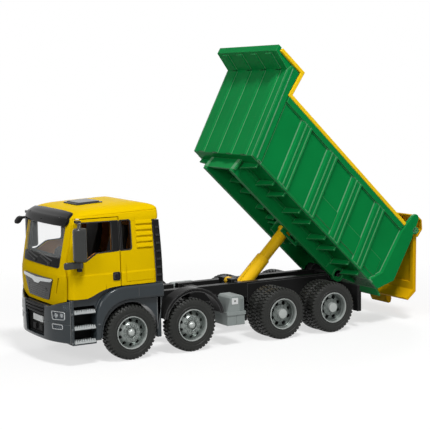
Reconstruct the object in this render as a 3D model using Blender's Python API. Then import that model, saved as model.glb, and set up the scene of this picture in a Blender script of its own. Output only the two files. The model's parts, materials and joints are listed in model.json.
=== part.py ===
"""Toy dump truck, about 1:16, with its tipper raised. Metres, +Z up, the truck faces -X.

Lengths along X are measured from the front axle. The whole truck is then centred on the origin.
"""

import math

import bmesh
import bpy
from mathutils import Matrix, Vector

for old in list(bpy.data.objects):
    bpy.data.objects.remove(old, do_unlink=True)

GAP = 0.0003

# Wheels
TYRE_RADIUS = 0.0335
TYRE_WIDTH = 0.020
TYRE_STEPS = 24
AXLE_Z = TYRE_RADIUS * math.cos(math.pi / TYRE_STEPS)  # the truck stands on one facet of each tyre
RIM_RADIUS = 0.0200
RIM_STEPS = 20
AXLE_RADIUS = 0.0022
WHEEL_FACE_Y = 0.078
AXLE_X = (0.0, 0.0826, 0.2150, 0.2935)
DUAL_AXLES = (2, 3)

# Chassis
RAIL_INNER = 0.015
RAIL_OUTER = 0.025
RAIL_BOTTOM = 0.050
RAIL_TOP = 0.070
RAIL_FRONT = -0.0740
RAIL_REAR = 0.3380
RAIL_DIP_X = (0.1060, 0.1133)
RAIL_DIP = 0.0634
HANGER_HALF = 0.0070

# Cab: for each height, the front at the middle, the rear and the half width
CAB_SECTIONS = (
    (0.0680, -0.0856, 0.0355, 0.0770),
    (0.1020, -0.0876, 0.0350, 0.0773),
    (0.1160, -0.0853, 0.0345, 0.0772),
    (0.1340, -0.0826, 0.0338, 0.0766),
    (0.1660, -0.0776, 0.0326, 0.0735),
    (0.1675, -0.0771, 0.0408, 0.0734),
    (0.1730, -0.0754, 0.0414, 0.0729),
    (0.1800, -0.0703, 0.0410, 0.0706),
    (0.1838, -0.0615, 0.0370, 0.0645),
    (0.1853, -0.0465, 0.0260, 0.0510),
)
ROOM_REAR = 0.0326
ROOF_RISE = 0.040
CAB_WALL = 0.0022
CAB_FLOOR = 0.0925
CAB_SIDE_BOTTOM = 0.0798
CAB_FRONT_BOTTOM = 0.0700
ARCH = ((-0.0570, 0.0798), (-0.0500, 0.0825), (-0.0400, 0.0870), (-0.0280, 0.0903), (-0.0140, 0.0914))
CAB_BACK_BOTTOM = 0.0914
DOOR_FRONT = -0.0790
DOOR_REAR = -0.0134
DOOR_TOP = 0.1730
DOOR_INNER = 0.0660
DOOR_PILLAR = (-0.0790, 0.1170, -0.0695)
DOOR_WINDOW = (
    (-0.0690, 0.1240), (-0.0580, 0.1240), (-0.0440, 0.1330), (-0.0185, 0.1340),
    (-0.0185, 0.1680), (-0.0640, 0.1680),
)
QUARTER_WINDOW = (-0.0100, 0.0014, 0.1340, 0.1680)
SCREEN_BOTTOM = 0.1153
SCREEN_TOP = 0.1700
PILLAR = (0.0232, 0.0170)
SCREEN_HALF = (CAB_SECTIONS[2][3] - PILLAR[0], CAB_SECTIONS[4][3] - PILLAR[1])
GLASS = 0.0016
WIPER_TOP = 0.1270
VISOR = (0.1646, 0.1832, 0.0620, 0.0550)
GRILLE = (0.0750, 0.1017, 0.0304, 0.0441)
PANEL_PROUD = 0.0014

# Bumper and fenders
BUMPER_FRONT = -0.0935
BUMPER_REAR = -0.0775
BUMPER_BOTTOM = 0.0277
BUMPER_HALF = 0.0742
BUMPER_WALL = 0.0026
BUMPER_TOP = 0.0860
LAMP_SPAN = (0.625, 0.885)
FENDER_REAR = 0.0440
FENDER_INNER = 0.0480
ARCH_RADIUS = 0.0378
STEP_LEVELS = (0.0290, 0.0455, 0.0640)
MUDGUARD_RADIUS = 0.0425
MUDGUARD_WALL = 0.0018
BOX_INNER = 0.0460

# Tub, in its own frame: u runs back along the floor, v up from it, from the front bottom edge
TIP_ANGLE = math.radians(43.9)
HINGE = Vector((0.3300, 0.0, 0.0684))
HINGE_UV = (0.2306, -0.0125)
HINGE_RADIUS = 0.0025
TUB_HALF = 0.0732
TUB_WALL = 0.0024
RIB_PROUD = 0.0023
TUB_TOP = 0.0958
STRIP_HEIGHT = 0.0050
TUB_REAR = ((0.2678, 0.0842), (0.2825, 0.0254), (0.2687, 0.0))
LEAN = 0.304
RIB_TOPS = (0.0330, 0.0880, 0.1420, 0.1940)
RIB_HALF = 0.0110
FRONT_RIBS = (-0.73, -0.24, 0.24, 0.73)
FRONT_RIB_HALF = 0.0055
GUSSET_FIRST = 0.0160
GUSSET_HALF = 0.0010
GUSSET_INSET = 0.0017
GUSSET_TIP = 0.0060
GUSSET_ROOT = 0.0095
BEAM_INNER = 0.0300
BEAM_OUTER = 0.0365
BEAM_DEPTH = 0.0200
RAIL_CLEAR = 0.0100
PLATE = (0.0090, 0.0115)
PLATE_HALF = 0.0395
PLATE_DEPTH = 0.0165
CROSS_PLATES = (0.0496, 0.0716, 0.1046, 0.1266, 0.1806)
BARREL_PLATES = (0.1046, 0.1266)
BARREL_CLEAR = 0.0120
SLOT_INNER = 0.0108
SLOT_OUTER = 0.0136
TAILGATE_PIVOT = (0.2650, 0.0986)
EAR_TIP = (0.2530, 0.1160)
TAILGATE_OPEN = math.radians(29.3)
TAILGATE_DEPTH = 0.0055
TAILGATE_SIDE_GAP = 0.0005
TAILGATE_HALF = TUB_HALF - TUB_WALL - TAILGATE_SIDE_GAP
PIN_RADIUS = 0.0020

# Cylinder, in the plane y = 0
BARREL_PIVOT = Vector((0.1806, 0.0, 0.0695))
BARREL_ANGLE = math.radians(44.5)
BARREL_RADIUS = 0.0095
ROD_RADIUS = 0.0078
HEAD = Vector((0.2686, 0.0, 0.1292))
BARREL_LENGTH = 0.0570
ROD_INSIDE = 0.0420

YELLOW = ((0.80, 0.47, 0.010, 1), 0.35, 0.0)
GREEN = ((0.012, 0.22, 0.055, 1), 0.40, 0.0)
SLATE = ((0.040, 0.052, 0.062, 1), 0.45, 0.0)
BLACK = ((0.012, 0.012, 0.013, 1), 0.50, 0.0)
DARK = ((0.030, 0.032, 0.035, 1), 0.50, 0.0)
RUBBER = ((0.035, 0.036, 0.035, 1), 0.80, 0.0)
SILVER = ((0.30, 0.33, 0.33, 1), 0.40, 0.3)
STEEL = ((0.55, 0.55, 0.56, 1), 0.30, 1.0)
CLEAR = ((0.80, 0.85, 0.87, 1), 0.08, 0.0)
WHITE = ((0.80, 0.80, 0.78, 1), 0.40, 0.0)

PARTS = bpy.data.collections.new("toy_dump_truck")
bpy.context.scene.collection.children.link(PARTS)


def empty(name, place, turn_y=0.0, parent=None):
    axis = bpy.data.objects.new(name, None)
    axis.empty_display_size = 0.02
    axis.location = place
    axis.rotation_euler = (0.0, turn_y, 0.0)
    axis.parent = parent
    PARTS.objects.link(axis)
    return axis


def from_bmesh(bm):
    bmesh.ops.remove_doubles(bm, verts=bm.verts, dist=1e-6)
    bmesh.ops.recalc_face_normals(bm, faces=bm.faces)
    mesh = bpy.data.meshes.new("shape")
    bm.to_mesh(mesh)
    bm.free()
    shape = bpy.data.objects.new("shape", mesh)
    PARTS.objects.link(shape)
    return shape


def prism(outline, low, high, along="y"):
    """A closed outline extruded from low to high: (x, z) along y, (y, z) along x, (x, y) along z."""
    spot = {
        "x": lambda a, b, t: (t, a, b),
        "y": lambda a, b, t: (a, t, b),
        "z": lambda a, b, t: (a, b, t),
    }[along]
    bm = bmesh.new()
    face = bm.faces.new([bm.verts.new(spot(a, b, low)) for a, b in outline])
    made = bmesh.ops.extrude_face_region(bm, geom=[face])["geom"]
    moved = [v for v in made if isinstance(v, bmesh.types.BMVert)]
    bmesh.ops.translate(bm, verts=moved, vec=Vector(spot(0, 0, high - low)))
    return from_bmesh(bm)


def box(x, y, z):
    return prism([(x[0], z[0]), (x[1], z[0]), (x[1], z[1]), (x[0], z[1])], min(y), max(y))


def lathe(profile, steps, closed=True):
    """A profile of (radius, y) points turned about the Y axis."""
    bm = bmesh.new()
    verts = [bm.verts.new((r, t, 0)) for r, t in profile]
    pairs = list(zip(verts, verts[1:])) + ([(verts[-1], verts[0])] if closed else [])
    edges = [bm.edges.new(pair) for pair in pairs]
    bmesh.ops.spin(bm, geom=verts + edges, cent=(0, 0, 0), axis=(0, 1, 0), angle=math.tau, steps=steps,
                   use_merge=True)
    return from_bmesh(bm)


def rod(radius, y0, y1, x=0.0, z=0.0, steps=16):
    """A round bar along Y."""
    turns = [math.tau * i / steps for i in range(steps)]
    return prism([(x + radius * math.cos(t), z + radius * math.sin(t)) for t in turns], y0, y1)


def arc(cx, cz, radius, start, stop, count):
    return [
        (cx + radius * math.cos(math.radians(start + (stop - start) * i / count)),
         cz + radius * math.sin(math.radians(start + (stop - start) * i / count)))
        for i in range(count + 1)
    ]


def boolean(shape, other, operation):
    mod = shape.modifiers.new(operation, "BOOLEAN")
    mod.operation = operation
    mod.solver = "EXACT"
    mod.object = other
    bpy.context.view_layer.update()
    graph = bpy.context.evaluated_depsgraph_get()
    made = bpy.data.meshes.new_from_object(shape.evaluated_get(graph))
    shape.modifiers.clear()
    old = shape.data
    shape.data = made
    bpy.data.meshes.remove(old)
    bpy.data.objects.remove(other, do_unlink=True)
    return shape


def join(shape, *others):
    for other in others:
        boolean(shape, other, "UNION")
    return shape


def cut(shape, *others):
    for other in others:
        boolean(shape, other, "DIFFERENCE")
    return shape


def common(shape, *others):
    for other in others:
        boolean(shape, other, "INTERSECT")
    return shape


def finish(shape, name, look, parent, local=False):
    """Names a shape, gives it its material and hangs it on its axis.

    A shape in truck coordinates is moved into the axis's own frame, and a local one is there already.
    """
    shape.name = name
    shape.data.name = name
    if not local:
        bpy.context.view_layer.update()
        shape.data.transform((ROOT.matrix_world.inverted() @ parent.matrix_world).inverted())
    shape.parent = parent
    material = bpy.data.materials.new(name)
    material.use_nodes = True
    shader = material.node_tree.nodes["Principled BSDF"]
    shader.inputs["Base Color"].default_value = look[0]
    shader.inputs["Roughness"].default_value = look[1]
    shader.inputs["Metallic"].default_value = look[2]
    shape.data.materials.clear()
    shape.data.materials.append(material)
    for face in shape.data.polygons:
        face.use_smooth = False
    return shape


ROOT = empty("truck", (0, 0, 0))
TUB_AXIS = empty("tub_axis", HINGE, TIP_ANGLE, ROOT)


def uv(u, v):
    """A point of the tub's side view, in the frame of its hinge."""
    return (u - HINGE_UV[0], v - HINGE_UV[1])


def tub_prism(outline, y0, y1):
    return prism([uv(*p) for p in outline], min(y0, y1), max(y0, y1))


def tub_box(u, y, v):
    return tub_prism([(u[0], v[0]), (u[1], v[0]), (u[1], v[1]), (u[0], v[1])], y[0], y[1])


# Wheels: each set of an axle, two rims and two tyres turns as one

def build_wheels():
    for number, x in enumerate(AXLE_X):
        dual = number in DUAL_AXLES
        axis = empty(f"wheelset_{number + 1}", (x, 0, AXLE_Z), 0.0, ROOT)
        width = 2 * TYRE_WIDTH if dual else TYRE_WIDTH
        half = width / 2
        middle = WHEEL_FACE_Y - half
        hub = 0.0075
        length = 2 * (middle + half - hub)
        finish(rod(AXLE_RADIUS, -length / 2, length / 2), f"axle_{number + 1}", STEEL, axis, True)
        bore = RIM_RADIUS + GAP
        shoulder = TYRE_RADIUS - 0.0030
        groove = [(shoulder, -0.0007), (shoulder, 0.0007), (TYRE_RADIUS, 0.0030)] if dual else []
        inner = [(TYRE_RADIUS, -0.0030)] if dual else []
        tyre = [
            (bore, -half + 0.0008), (bore + 0.005, -half), (shoulder, -half), (TYRE_RADIUS, -half + 0.0025),
            *inner, *groove,
            (TYRE_RADIUS, half - 0.0025), (shoulder, half), (bore + 0.005, half), (bore, half - 0.0008),
        ]
        face = half - 0.0008
        dish = half - 0.0052 if not dual else half - 0.0085
        seat = AXLE_RADIUS + GAP
        lip = RIM_RADIUS - 0.0019
        rim = [(0.0, half - 0.0012), (0.0062, half - 0.0012), (0.0072, dish), (lip - 0.0008, dish),
               (lip, face), (RIM_RADIUS, face), (RIM_RADIUS, -face), (lip, -face), (lip, dish - 0.0032),
               (seat, dish - 0.0032), (seat, half - hub + GAP), (0.0, half - hub + GAP)]
        for side, word in ((-1, "left"), (1, "right")):
            for profile, steps, kind, look, closed in (
                (rim, RIM_STEPS, "rim", SILVER, False),
                (tyre, TYRE_STEPS, "tyre", RUBBER, True),
            ):
                shape = lathe([(r, side * (middle + t)) for r, t in profile], steps, closed)
                shape.data.transform(Matrix.Rotation(math.pi / steps, 4, "Y"))
                finish(shape, f"{kind}_{number + 1}_{word}", look, axis, True)


def build_chassis():
    frame = box((RAIL_FRONT, RAIL_REAR), (-RAIL_OUTER, -RAIL_INNER), (RAIL_BOTTOM, RAIL_TOP))
    more = [box((RAIL_FRONT, RAIL_REAR), (RAIL_INNER, RAIL_OUTER), (RAIL_BOTTOM, RAIL_TOP))]
    inside = RAIL_INNER + 0.001
    for x0, x1, z0, z1 in (
        (RAIL_FRONT, -0.070, 0.052, 0.066), (0.038, 0.050, 0.053, 0.068), (0.118, 0.130, 0.053, 0.068),
        (0.256, 0.266, 0.0505, 0.0575), (RAIL_REAR - 0.006, RAIL_REAR - 0.0005, 0.0505, 0.061),
    ):
        more.append(box((x0, x1), (-inside, inside), (z0, z1)))
    for side in (-1, 1):
        within = (side * (RAIL_INNER + 0.001), side * (RAIL_OUTER - 0.001))
        for x in AXLE_X:
            more.append(box((x - HANGER_HALF, x + HANGER_HALF), within,
                            (AXLE_Z - 0.0065, RAIL_BOTTOM + 0.002)))
        more.append(box((AXLE_X[2] - 0.022, AXLE_X[3] + 0.026),
                        (side * (RAIL_OUTER - 0.003), side * (RAIL_OUTER + 0.0008)),
                        (RAIL_BOTTOM - 0.006, RAIL_TOP - 0.002)))
        for x0, x1 in ((-0.062, -0.050), (0.016, 0.028)):
            more.append(box((x0, x1), within, (RAIL_TOP - 0.002, CAB_FLOOR - GAP)))
        for x0, x1, reach in (
            (-0.072, -0.058, FENDER_INNER - GAP),
            (FENDER_REAR - 0.0080, FENDER_REAR - 0.0025, FENDER_INNER - GAP),
            (0.139, 0.151, BOX_INNER - GAP),
        ):
            more.append(box((x0, x1), (side * (RAIL_OUTER - 0.002), side * reach),
                            (RAIL_BOTTOM + 0.003, RAIL_TOP - 0.0105)))
        more.append(rod(0.0090, *sorted((side * (RAIL_INNER + 0.0005), side * (RAIL_OUTER + 0.0012))),
                        HINGE.x, HINGE.z, 20))
        more.append(box((BARREL_PIVOT.x - 0.006, BARREL_PIVOT.x + 0.003),
                        (side * 0.0048, side * (RAIL_INNER + 0.002)),
                        (BARREL_PIVOT.z - 0.0075, BARREL_PIVOT.z + 0.0045)))
    more.append(box((-0.0868, RAIL_FRONT + 0.001), (-0.0310, 0.0310), (0.0310, 0.0625)))
    join(frame, *more)
    for x in AXLE_X:
        cut(frame, rod(AXLE_RADIUS + GAP, -0.03, 0.03, x, AXLE_Z))
    cut(frame, rod(HINGE_RADIUS + GAP, -0.03, 0.03, HINGE.x, HINGE.z))
    cut(frame, box(RAIL_DIP_X, (-0.030, 0.030), (RAIL_DIP, RAIL_TOP + 0.001)))
    cut(frame, rod(PIN_RADIUS + GAP, -0.0165, 0.0165, BARREL_PIVOT.x, BARREL_PIVOT.z, 12))
    finish(frame, "chassis_frame", BLACK, ROOT)
    shaft = rod(HINGE_RADIUS, -BEAM_OUTER - 0.0015, BEAM_OUTER + 0.0015, HINGE.x, HINGE.z)
    finish(shaft, "tub_hinge_shaft", STEEL, ROOT)
    pin = rod(PIN_RADIUS, -0.0160, 0.0160, BARREL_PIVOT.x, BARREL_PIVOT.z, 12)
    finish(pin, "cylinder_pin", STEEL, ROOT)
    guard = join(
        box((RAIL_REAR + GAP, RAIL_REAR + 0.0035), (-0.070, 0.070), (0.0400, 0.0575)),
        box((RAIL_REAR + GAP, RAIL_REAR + 0.0060), (-0.070, -0.036), (0.0225, 0.0500)),
        box((RAIL_REAR + GAP, RAIL_REAR + 0.0060), (0.036, 0.070), (0.0225, 0.0500)),
    )
    finish(guard, "rear_guard", BLACK, ROOT)


# Cab

def cab_solid(grow=0.0, floor=None):
    """The cab's outer form, lofted through its sections and grown outwards by a distance."""
    bm = bmesh.new()
    loops = []
    sections = list(CAB_SECTIONS)
    if floor is not None:
        sections[0] = (floor, *sections[0][1:])
    for z, front, rear, half in sections:
        f, r, h = front - grow, (rear if grow >= 0 else min(rear, ROOM_REAR)) + grow, half + grow
        lift = grow if z == CAB_SECTIONS[-1][0] else 0.0
        rise = ROOF_RISE if z > DOOR_TOP else 0.0
        side = [
            (f, 0.0), (f + 0.0006, 0.36 * h), (f + 0.0016, 0.57 * h), (f + 0.0035, 0.74 * h),
            (f + 0.0062, 0.87 * h), (f + 0.0090, 0.945 * h), (f + 0.0128, h - 0.0010), (f + 0.0175, h),
            (r - 0.0060, h), (r - 0.0014, h - 0.0014), (r, h - 0.0060),
        ]
        ring = side + [(x, -y) for x, y in reversed(side[1:])]
        verts = [bm.verts.new((x, y, z + lift + rise * (x + 0.011))) for x, y in ring]
        loops.append([bm.edges.new((verts[i], verts[(i + 1) % len(verts)])) for i in range(len(verts))])
    for low, high in zip(loops, loops[1:]):
        bmesh.ops.bridge_loops(bm, edges=low + high)
    bmesh.ops.edgeloop_fill(bm, edges=loops[0])
    bmesh.ops.edgeloop_fill(bm, edges=loops[-1])
    return from_bmesh(bm)


def cab_skin(outer, inner, floor=0.050):
    return cut(cab_solid(outer, floor), cab_solid(inner, floor - 0.002))


def below_cab():
    """What lies under the cab's lower edge: the wheel arch at the sides and a V at the front."""
    sides = prism([(-0.120, 0.030), (0.060, 0.030), (0.060, CAB_BACK_BOTTOM), *reversed(ARCH),
                   (-0.120, CAB_SIDE_BOTTOM)], -0.100, 0.100)
    nose = prism(
        [(-0.100, CAB_FRONT_BOTTOM + 0.0158), (-0.0386, CAB_FRONT_BOTTOM), (0.0386, CAB_FRONT_BOTTOM),
         (0.100, CAB_FRONT_BOTTOM + 0.0158), (0.100, 0.120), (-0.100, 0.120)], -0.120, DOOR_FRONT - GAP, "x"
    )
    return cut(sides, nose)


def door_outline(grow):
    return [
        (DOOR_FRONT - grow, 0.060), (DOOR_REAR + grow, 0.060), (DOOR_REAR + grow, DOOR_TOP + grow),
        (DOOR_PILLAR[2] - grow, DOOR_TOP + grow), (DOOR_PILLAR[0] - grow, DOOR_PILLAR[1]),
    ]


def screen_outline(grow, bottom, top):
    slope = (SCREEN_HALF[1] - SCREEN_HALF[0]) / (SCREEN_TOP - SCREEN_BOTTOM)
    low = SCREEN_HALF[0] + slope * (bottom - SCREEN_BOTTOM) + grow
    high = SCREEN_HALF[0] + slope * (top - SCREEN_BOTTOM) + grow
    return [(-low, bottom), (low, bottom), (high, top), (-high, top)]


def grille_outline(grow):
    low, high, narrow, wide = GRILLE
    return [(-narrow - grow, low - grow), (narrow + grow, low - grow), (wide + grow, high + grow),
            (-wide - grow, high + grow)]


def build_cab():
    shell = cab_skin(0.0, -CAB_WALL)
    cut(shell, below_cab())
    for side in (-1, 1):
        cut(shell, prism(door_outline(GAP), *sorted((side * (DOOR_INNER - GAP), side * 0.100))))
        x0, x1, z0, z1 = QUARTER_WINDOW
        cut(shell, box((x0, x1), (side * 0.050, side * 0.100), (z0, z1)))
    cut(shell, prism(screen_outline(GAP, SCREEN_BOTTOM - GAP, SCREEN_TOP + GAP), -0.120, -0.050, "x"))
    finish(shell, "cab_shell", YELLOW, ROOT)

    glass = prism(screen_outline(0.0, WIPER_TOP + GAP, SCREEN_TOP), -0.120, -0.050, "x")
    finish(common(cab_skin(0.0, -GLASS), glass), "windscreen", CLEAR, ROOT)
    panel = prism(screen_outline(0.0, SCREEN_BOTTOM, WIPER_TOP), -0.120, -0.050, "x")
    wipers = common(cab_skin(0.0006, -GLASS), panel)
    finish(wipers, "wiper_panel", BLACK, ROOT)
    low, high, wide, narrow = VISOR
    visor = common(
        cab_skin(0.0042, GAP),
        prism([(-wide, low), (wide, low), (narrow, high), (-narrow, high)], -0.120, -0.0645, "x"),
    )
    finish(visor, "sun_visor", BLACK, ROOT)
    grille = common(cab_skin(PANEL_PROUD, GAP), prism(grille_outline(0.0), -0.120, -0.060, "x"))
    finish(grille, "grille_panel", DARK, ROOT)
    _, top, _, wide = GRILLE
    trim = common(
        cab_skin(PANEL_PROUD + 0.0014, PANEL_PROUD + GAP),
        prism([(-wide + 0.001, top - 0.0008), (-wide + 0.003, top - 0.0062), (0.0, top - 0.0095),
               (wide - 0.003, top - 0.0062), (wide - 0.001, top - 0.0008)], -0.120, -0.060, "x"),
    )
    finish(trim, "grille_trim", SILVER, ROOT)
    roof = CAB_SECTIONS[-1][0]
    hatch = join(
        box((-0.0425, -0.0085), (-0.0220, 0.0220), (roof + GAP, roof + 0.0016)),
        box((-0.0395, -0.0115), (-0.0190, 0.0190), (roof + 0.0010, roof + 0.0026)),
    )
    finish(hatch, "roof_hatch", DARK, ROOT)
    wide = [(0.0755, CAB_BACK_BOTTOM), (0.0758, 0.1160), (0.0750, 0.1340), (0.0722, 0.1664)]
    back = prism(wide + [(-y, z) for y, z in reversed(wide)], 0.0322, 0.0450, "x")
    cut(back, prism([(0.0438, 0.0850), (0.0406, 0.1700), (0.0600, 0.1700), (0.0600, 0.0850)], -0.100, 0.100),
        cab_solid(GAP, 0.060))
    for k in range(6):
        z = 0.1000 + 0.0110 * k
        cut(back, prism([(0.0422 - 0.0376 * (z - 0.0914), z), (0.0600, z), (0.0600, z + 0.0060),
                         (0.0422 - 0.0376 * (z + 0.0060 - 0.0914), z + 0.0060)], -0.0650, 0.0650))
    finish(back, "cab_rear_panel", BLACK, ROOT)

    room = CAB_FLOOR + 0.0025
    dash = join(
        prism([(-0.0700, -0.0550), (-0.0570, -0.0715), (0.0240, -0.0715), (0.0295, -0.0660), (0.0295, 0.0660),
               (0.0240, 0.0715), (-0.0570, 0.0715), (-0.0700, 0.0550)], CAB_FLOOR, room, "z"),
        prism([(-0.0760, room - 0.001), (-0.0640, room - 0.001), (-0.0580, 0.1130), (-0.0600, 0.1230),
               (-0.0690, 0.1265), (-0.0760, 0.1180)], -0.0620, 0.0620),
        prism([(-0.0720, 0.1220), (-0.0615, 0.1220), (-0.0600, 0.1330), (-0.0640, 0.1365), (-0.0700, 0.1330)],
              -0.0600, -0.0140),
    )
    finish(dash, "cab_interior", DARK, ROOT)
    for side, word in ((-1, "left"), (1, "right")):
        seat = prism([(-0.0380, room + GAP), (-0.0020, room + GAP), (0.0090, 0.1480), (0.0085, 0.1600),
                      (0.0040, 0.1600), (0.0020, 0.1480), (-0.0085, 0.1150), (-0.0380, 0.1120)],
                     *sorted((side * 0.0190, side * 0.0540)))
        finish(seat, f"seat_{word}", DARK, ROOT)
    turns = [math.tau * i / 6 for i in range(6)]
    wheel = lathe([(0.0118 + 0.0014 * math.cos(t), 0.0014 * math.sin(t)) for t in turns], 18)
    join(wheel, rod(0.0035, -0.0016, 0.0016, 0, 0, 10),
         box((-0.0118, 0.0118), (-0.0010, 0.0010), (-0.0016, 0.0016)), rod(0.0016, -0.0010, 0.0160, 0, 0, 8))
    lean = Matrix.Rotation(math.radians(90), 4, "Z") @ Matrix.Rotation(math.radians(-35), 4, "X")
    wheel.data.transform(Matrix.Translation((-0.0450, -0.0365, 0.1275)) @ lean)
    finish(wheel, "steering_wheel", BLACK, ROOT)
    ramp = join(
        prism([(-0.0905, 0.1580), (-0.0860, 0.1590), (-0.0815, 0.1650), (-0.0825, 0.1680), (-0.0870, 0.1670),
               (-0.0910, 0.1620)], 0.0550, 0.0640),
        box((-0.0850, -0.0740), (0.0565, 0.0600), (0.1640, 0.1675)),
    )
    cut(ramp, cab_solid(0.0042 + GAP, 0.060))
    finish(ramp, "front_mirror", BLACK, ROOT)


def build_doors():
    for side, word in ((-1, "left"), (1, "right")):
        axis = empty(f"door_axis_{word}", (DOOR_FRONT + 0.0012, side * 0.0745, 0.0), 0.0, ROOT)
        door = common(cab_skin(0.0, -CAB_WALL), prism(door_outline(-GAP),
                                                      *sorted((side * DOOR_INNER, side * 0.100))))
        cut(door, below_cab(), prism(DOOR_WINDOW, *sorted((side * 0.050, side * 0.100))))
        hinge_x, hinge_w = -0.0670, 0.0797
        lug = ((hinge_x - 0.0026, hinge_x + 0.0026))
        join(door, box(lug, (side * 0.0757, side * (hinge_w + 0.0020)), (0.1130, 0.1167)),
             box(lug, (side * 0.0715, side * (hinge_w + 0.0020)), (0.1690, 0.1722)))
        finish(door, f"door_{word}", YELLOW, axis)
        handle = join(
            box((-0.0240, -0.0145), (side * (0.0772 + GAP), side * 0.0786), (0.0985, 0.1085)),
            box((-0.0228, -0.0180), (side * 0.0780, side * 0.0797), (0.1000, 0.1070)),
        )
        finish(handle, f"door_handle_{word}", BLACK, axis)

        fold = empty(f"mirror_axis_{word}", (hinge_x, side * hinge_w, 0.0), 0.0, ROOT)
        sided = lambda points: [(x, side * w) for x, w in points]
        mirror = prism(arc(hinge_x, side * hinge_w, 0.0017, 0, 324, 9), 0.1167 + GAP, 0.1690 - GAP, "z")
        join(mirror, prism(sided([(-0.0735, 0.0815), (-0.0770, 0.0860), (-0.0760, 0.0925),
                                  (-0.0720, 0.0945), (-0.0635, 0.0940), (-0.0605, 0.0860),
                                  (-0.0610, 0.0815)]), 0.1250, 0.1615, "z"),
             prism(sided([(-0.0685, 0.0795), (-0.0655, 0.0795), (-0.0640, 0.0890), (-0.0730, 0.0900),
                          (-0.0745, 0.0860)]), 0.1605, 0.1670, "z"))
        if side < 0:
            join(mirror, prism(sided([(-0.0690, 0.0793), (-0.0655, 0.0800), (-0.0680, 0.0860),
                                      (-0.0860, 0.0870), (-0.0895, 0.0845), (-0.0870, 0.0815),
                                      (-0.0740, 0.0812)]), 0.1172, 0.1258, "z"))
        finish(mirror, f"mirror_{word}", DARK, fold)
        bpy.context.view_layer.update()
        fold.parent = axis
        fold.matrix_parent_inverse = axis.matrix_world.inverted()
        if side > 0:
            fold.rotation_euler = (0.0, 0.0, math.radians(-MIRROR_FOLD))


MIRROR_FOLD = 75.0


def bumper_outline(grow):
    f = BUMPER_FRONT
    h = BUMPER_HALF
    side = [(f - grow, 0.0), (f + 0.0005 - grow, 0.296 * h), (f + 0.0021 - grow, 0.512 * h),
            (f + 0.0055 - grow, 0.681 * h), (f + 0.0100 - grow * 0.9, 0.836 * h + grow * 0.4),
            (f + 0.0135 - grow * 0.8, 0.937 * h + grow * 0.6), (BUMPER_REAR, h + grow)]
    return side + [(x, -y) for x, y in reversed(side[1:])]


def build_bumper():
    bumper = prism(bumper_outline(0.0), BUMPER_BOTTOM, BUMPER_TOP, "z")
    cut(bumper, prism(bumper_outline(-BUMPER_WALL), BUMPER_BOTTOM + BUMPER_WALL, BUMPER_TOP + 0.001, "z"))
    shelf = prism(bumper_outline(-0.0010), 0.0630, 0.0655, "z")
    join(bumper, common(shelf, box((-0.1, BUMPER_REAR - 0.0002), (-BUMPER_HALF, BUMPER_HALF), (0.06, 0.07))))
    low = CAB_FRONT_BOTTOM - 2 * GAP
    cut(bumper, prism([(-0.100, low + 0.0158), (-0.0386, low), (0.0386, low), (0.100, low + 0.0158),
                       (0.100, 0.120), (-0.100, 0.120)], -0.120, -0.050, "x"))
    cut(bumper, prism([(-0.0270, 0.0315), (0.0270, 0.0315), (0.0300, 0.0590), (-0.0300, 0.0590)], -0.120,
                      -0.060, "x"))
    finish(bumper, "front_bumper", SLATE, ROOT)
    plate = box((-0.0886, -0.0868 - GAP), (-0.0150, 0.0150), (0.0455, 0.0530))
    finish(plate, "number_plate", WHITE, ROOT)
    for side, word in ((-1, "left"), (1, "right")):
        lamp = prism(bumper_outline(0.0010), 0.0510, 0.0620, "z")
        cut(lamp, prism(bumper_outline(GAP), 0.0500, 0.0630, "z"))
        near, far = side * LAMP_SPAN[0] * BUMPER_HALF, side * LAMP_SPAN[1] * BUMPER_HALF
        common(lamp, prism([(near, 0.0520), (far, 0.0530), (far, 0.0622), (near, 0.0622)], -0.120, -0.050,
                           "x"))
        finish(lamp, f"headlamp_{word}", CLEAR, ROOT)


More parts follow.
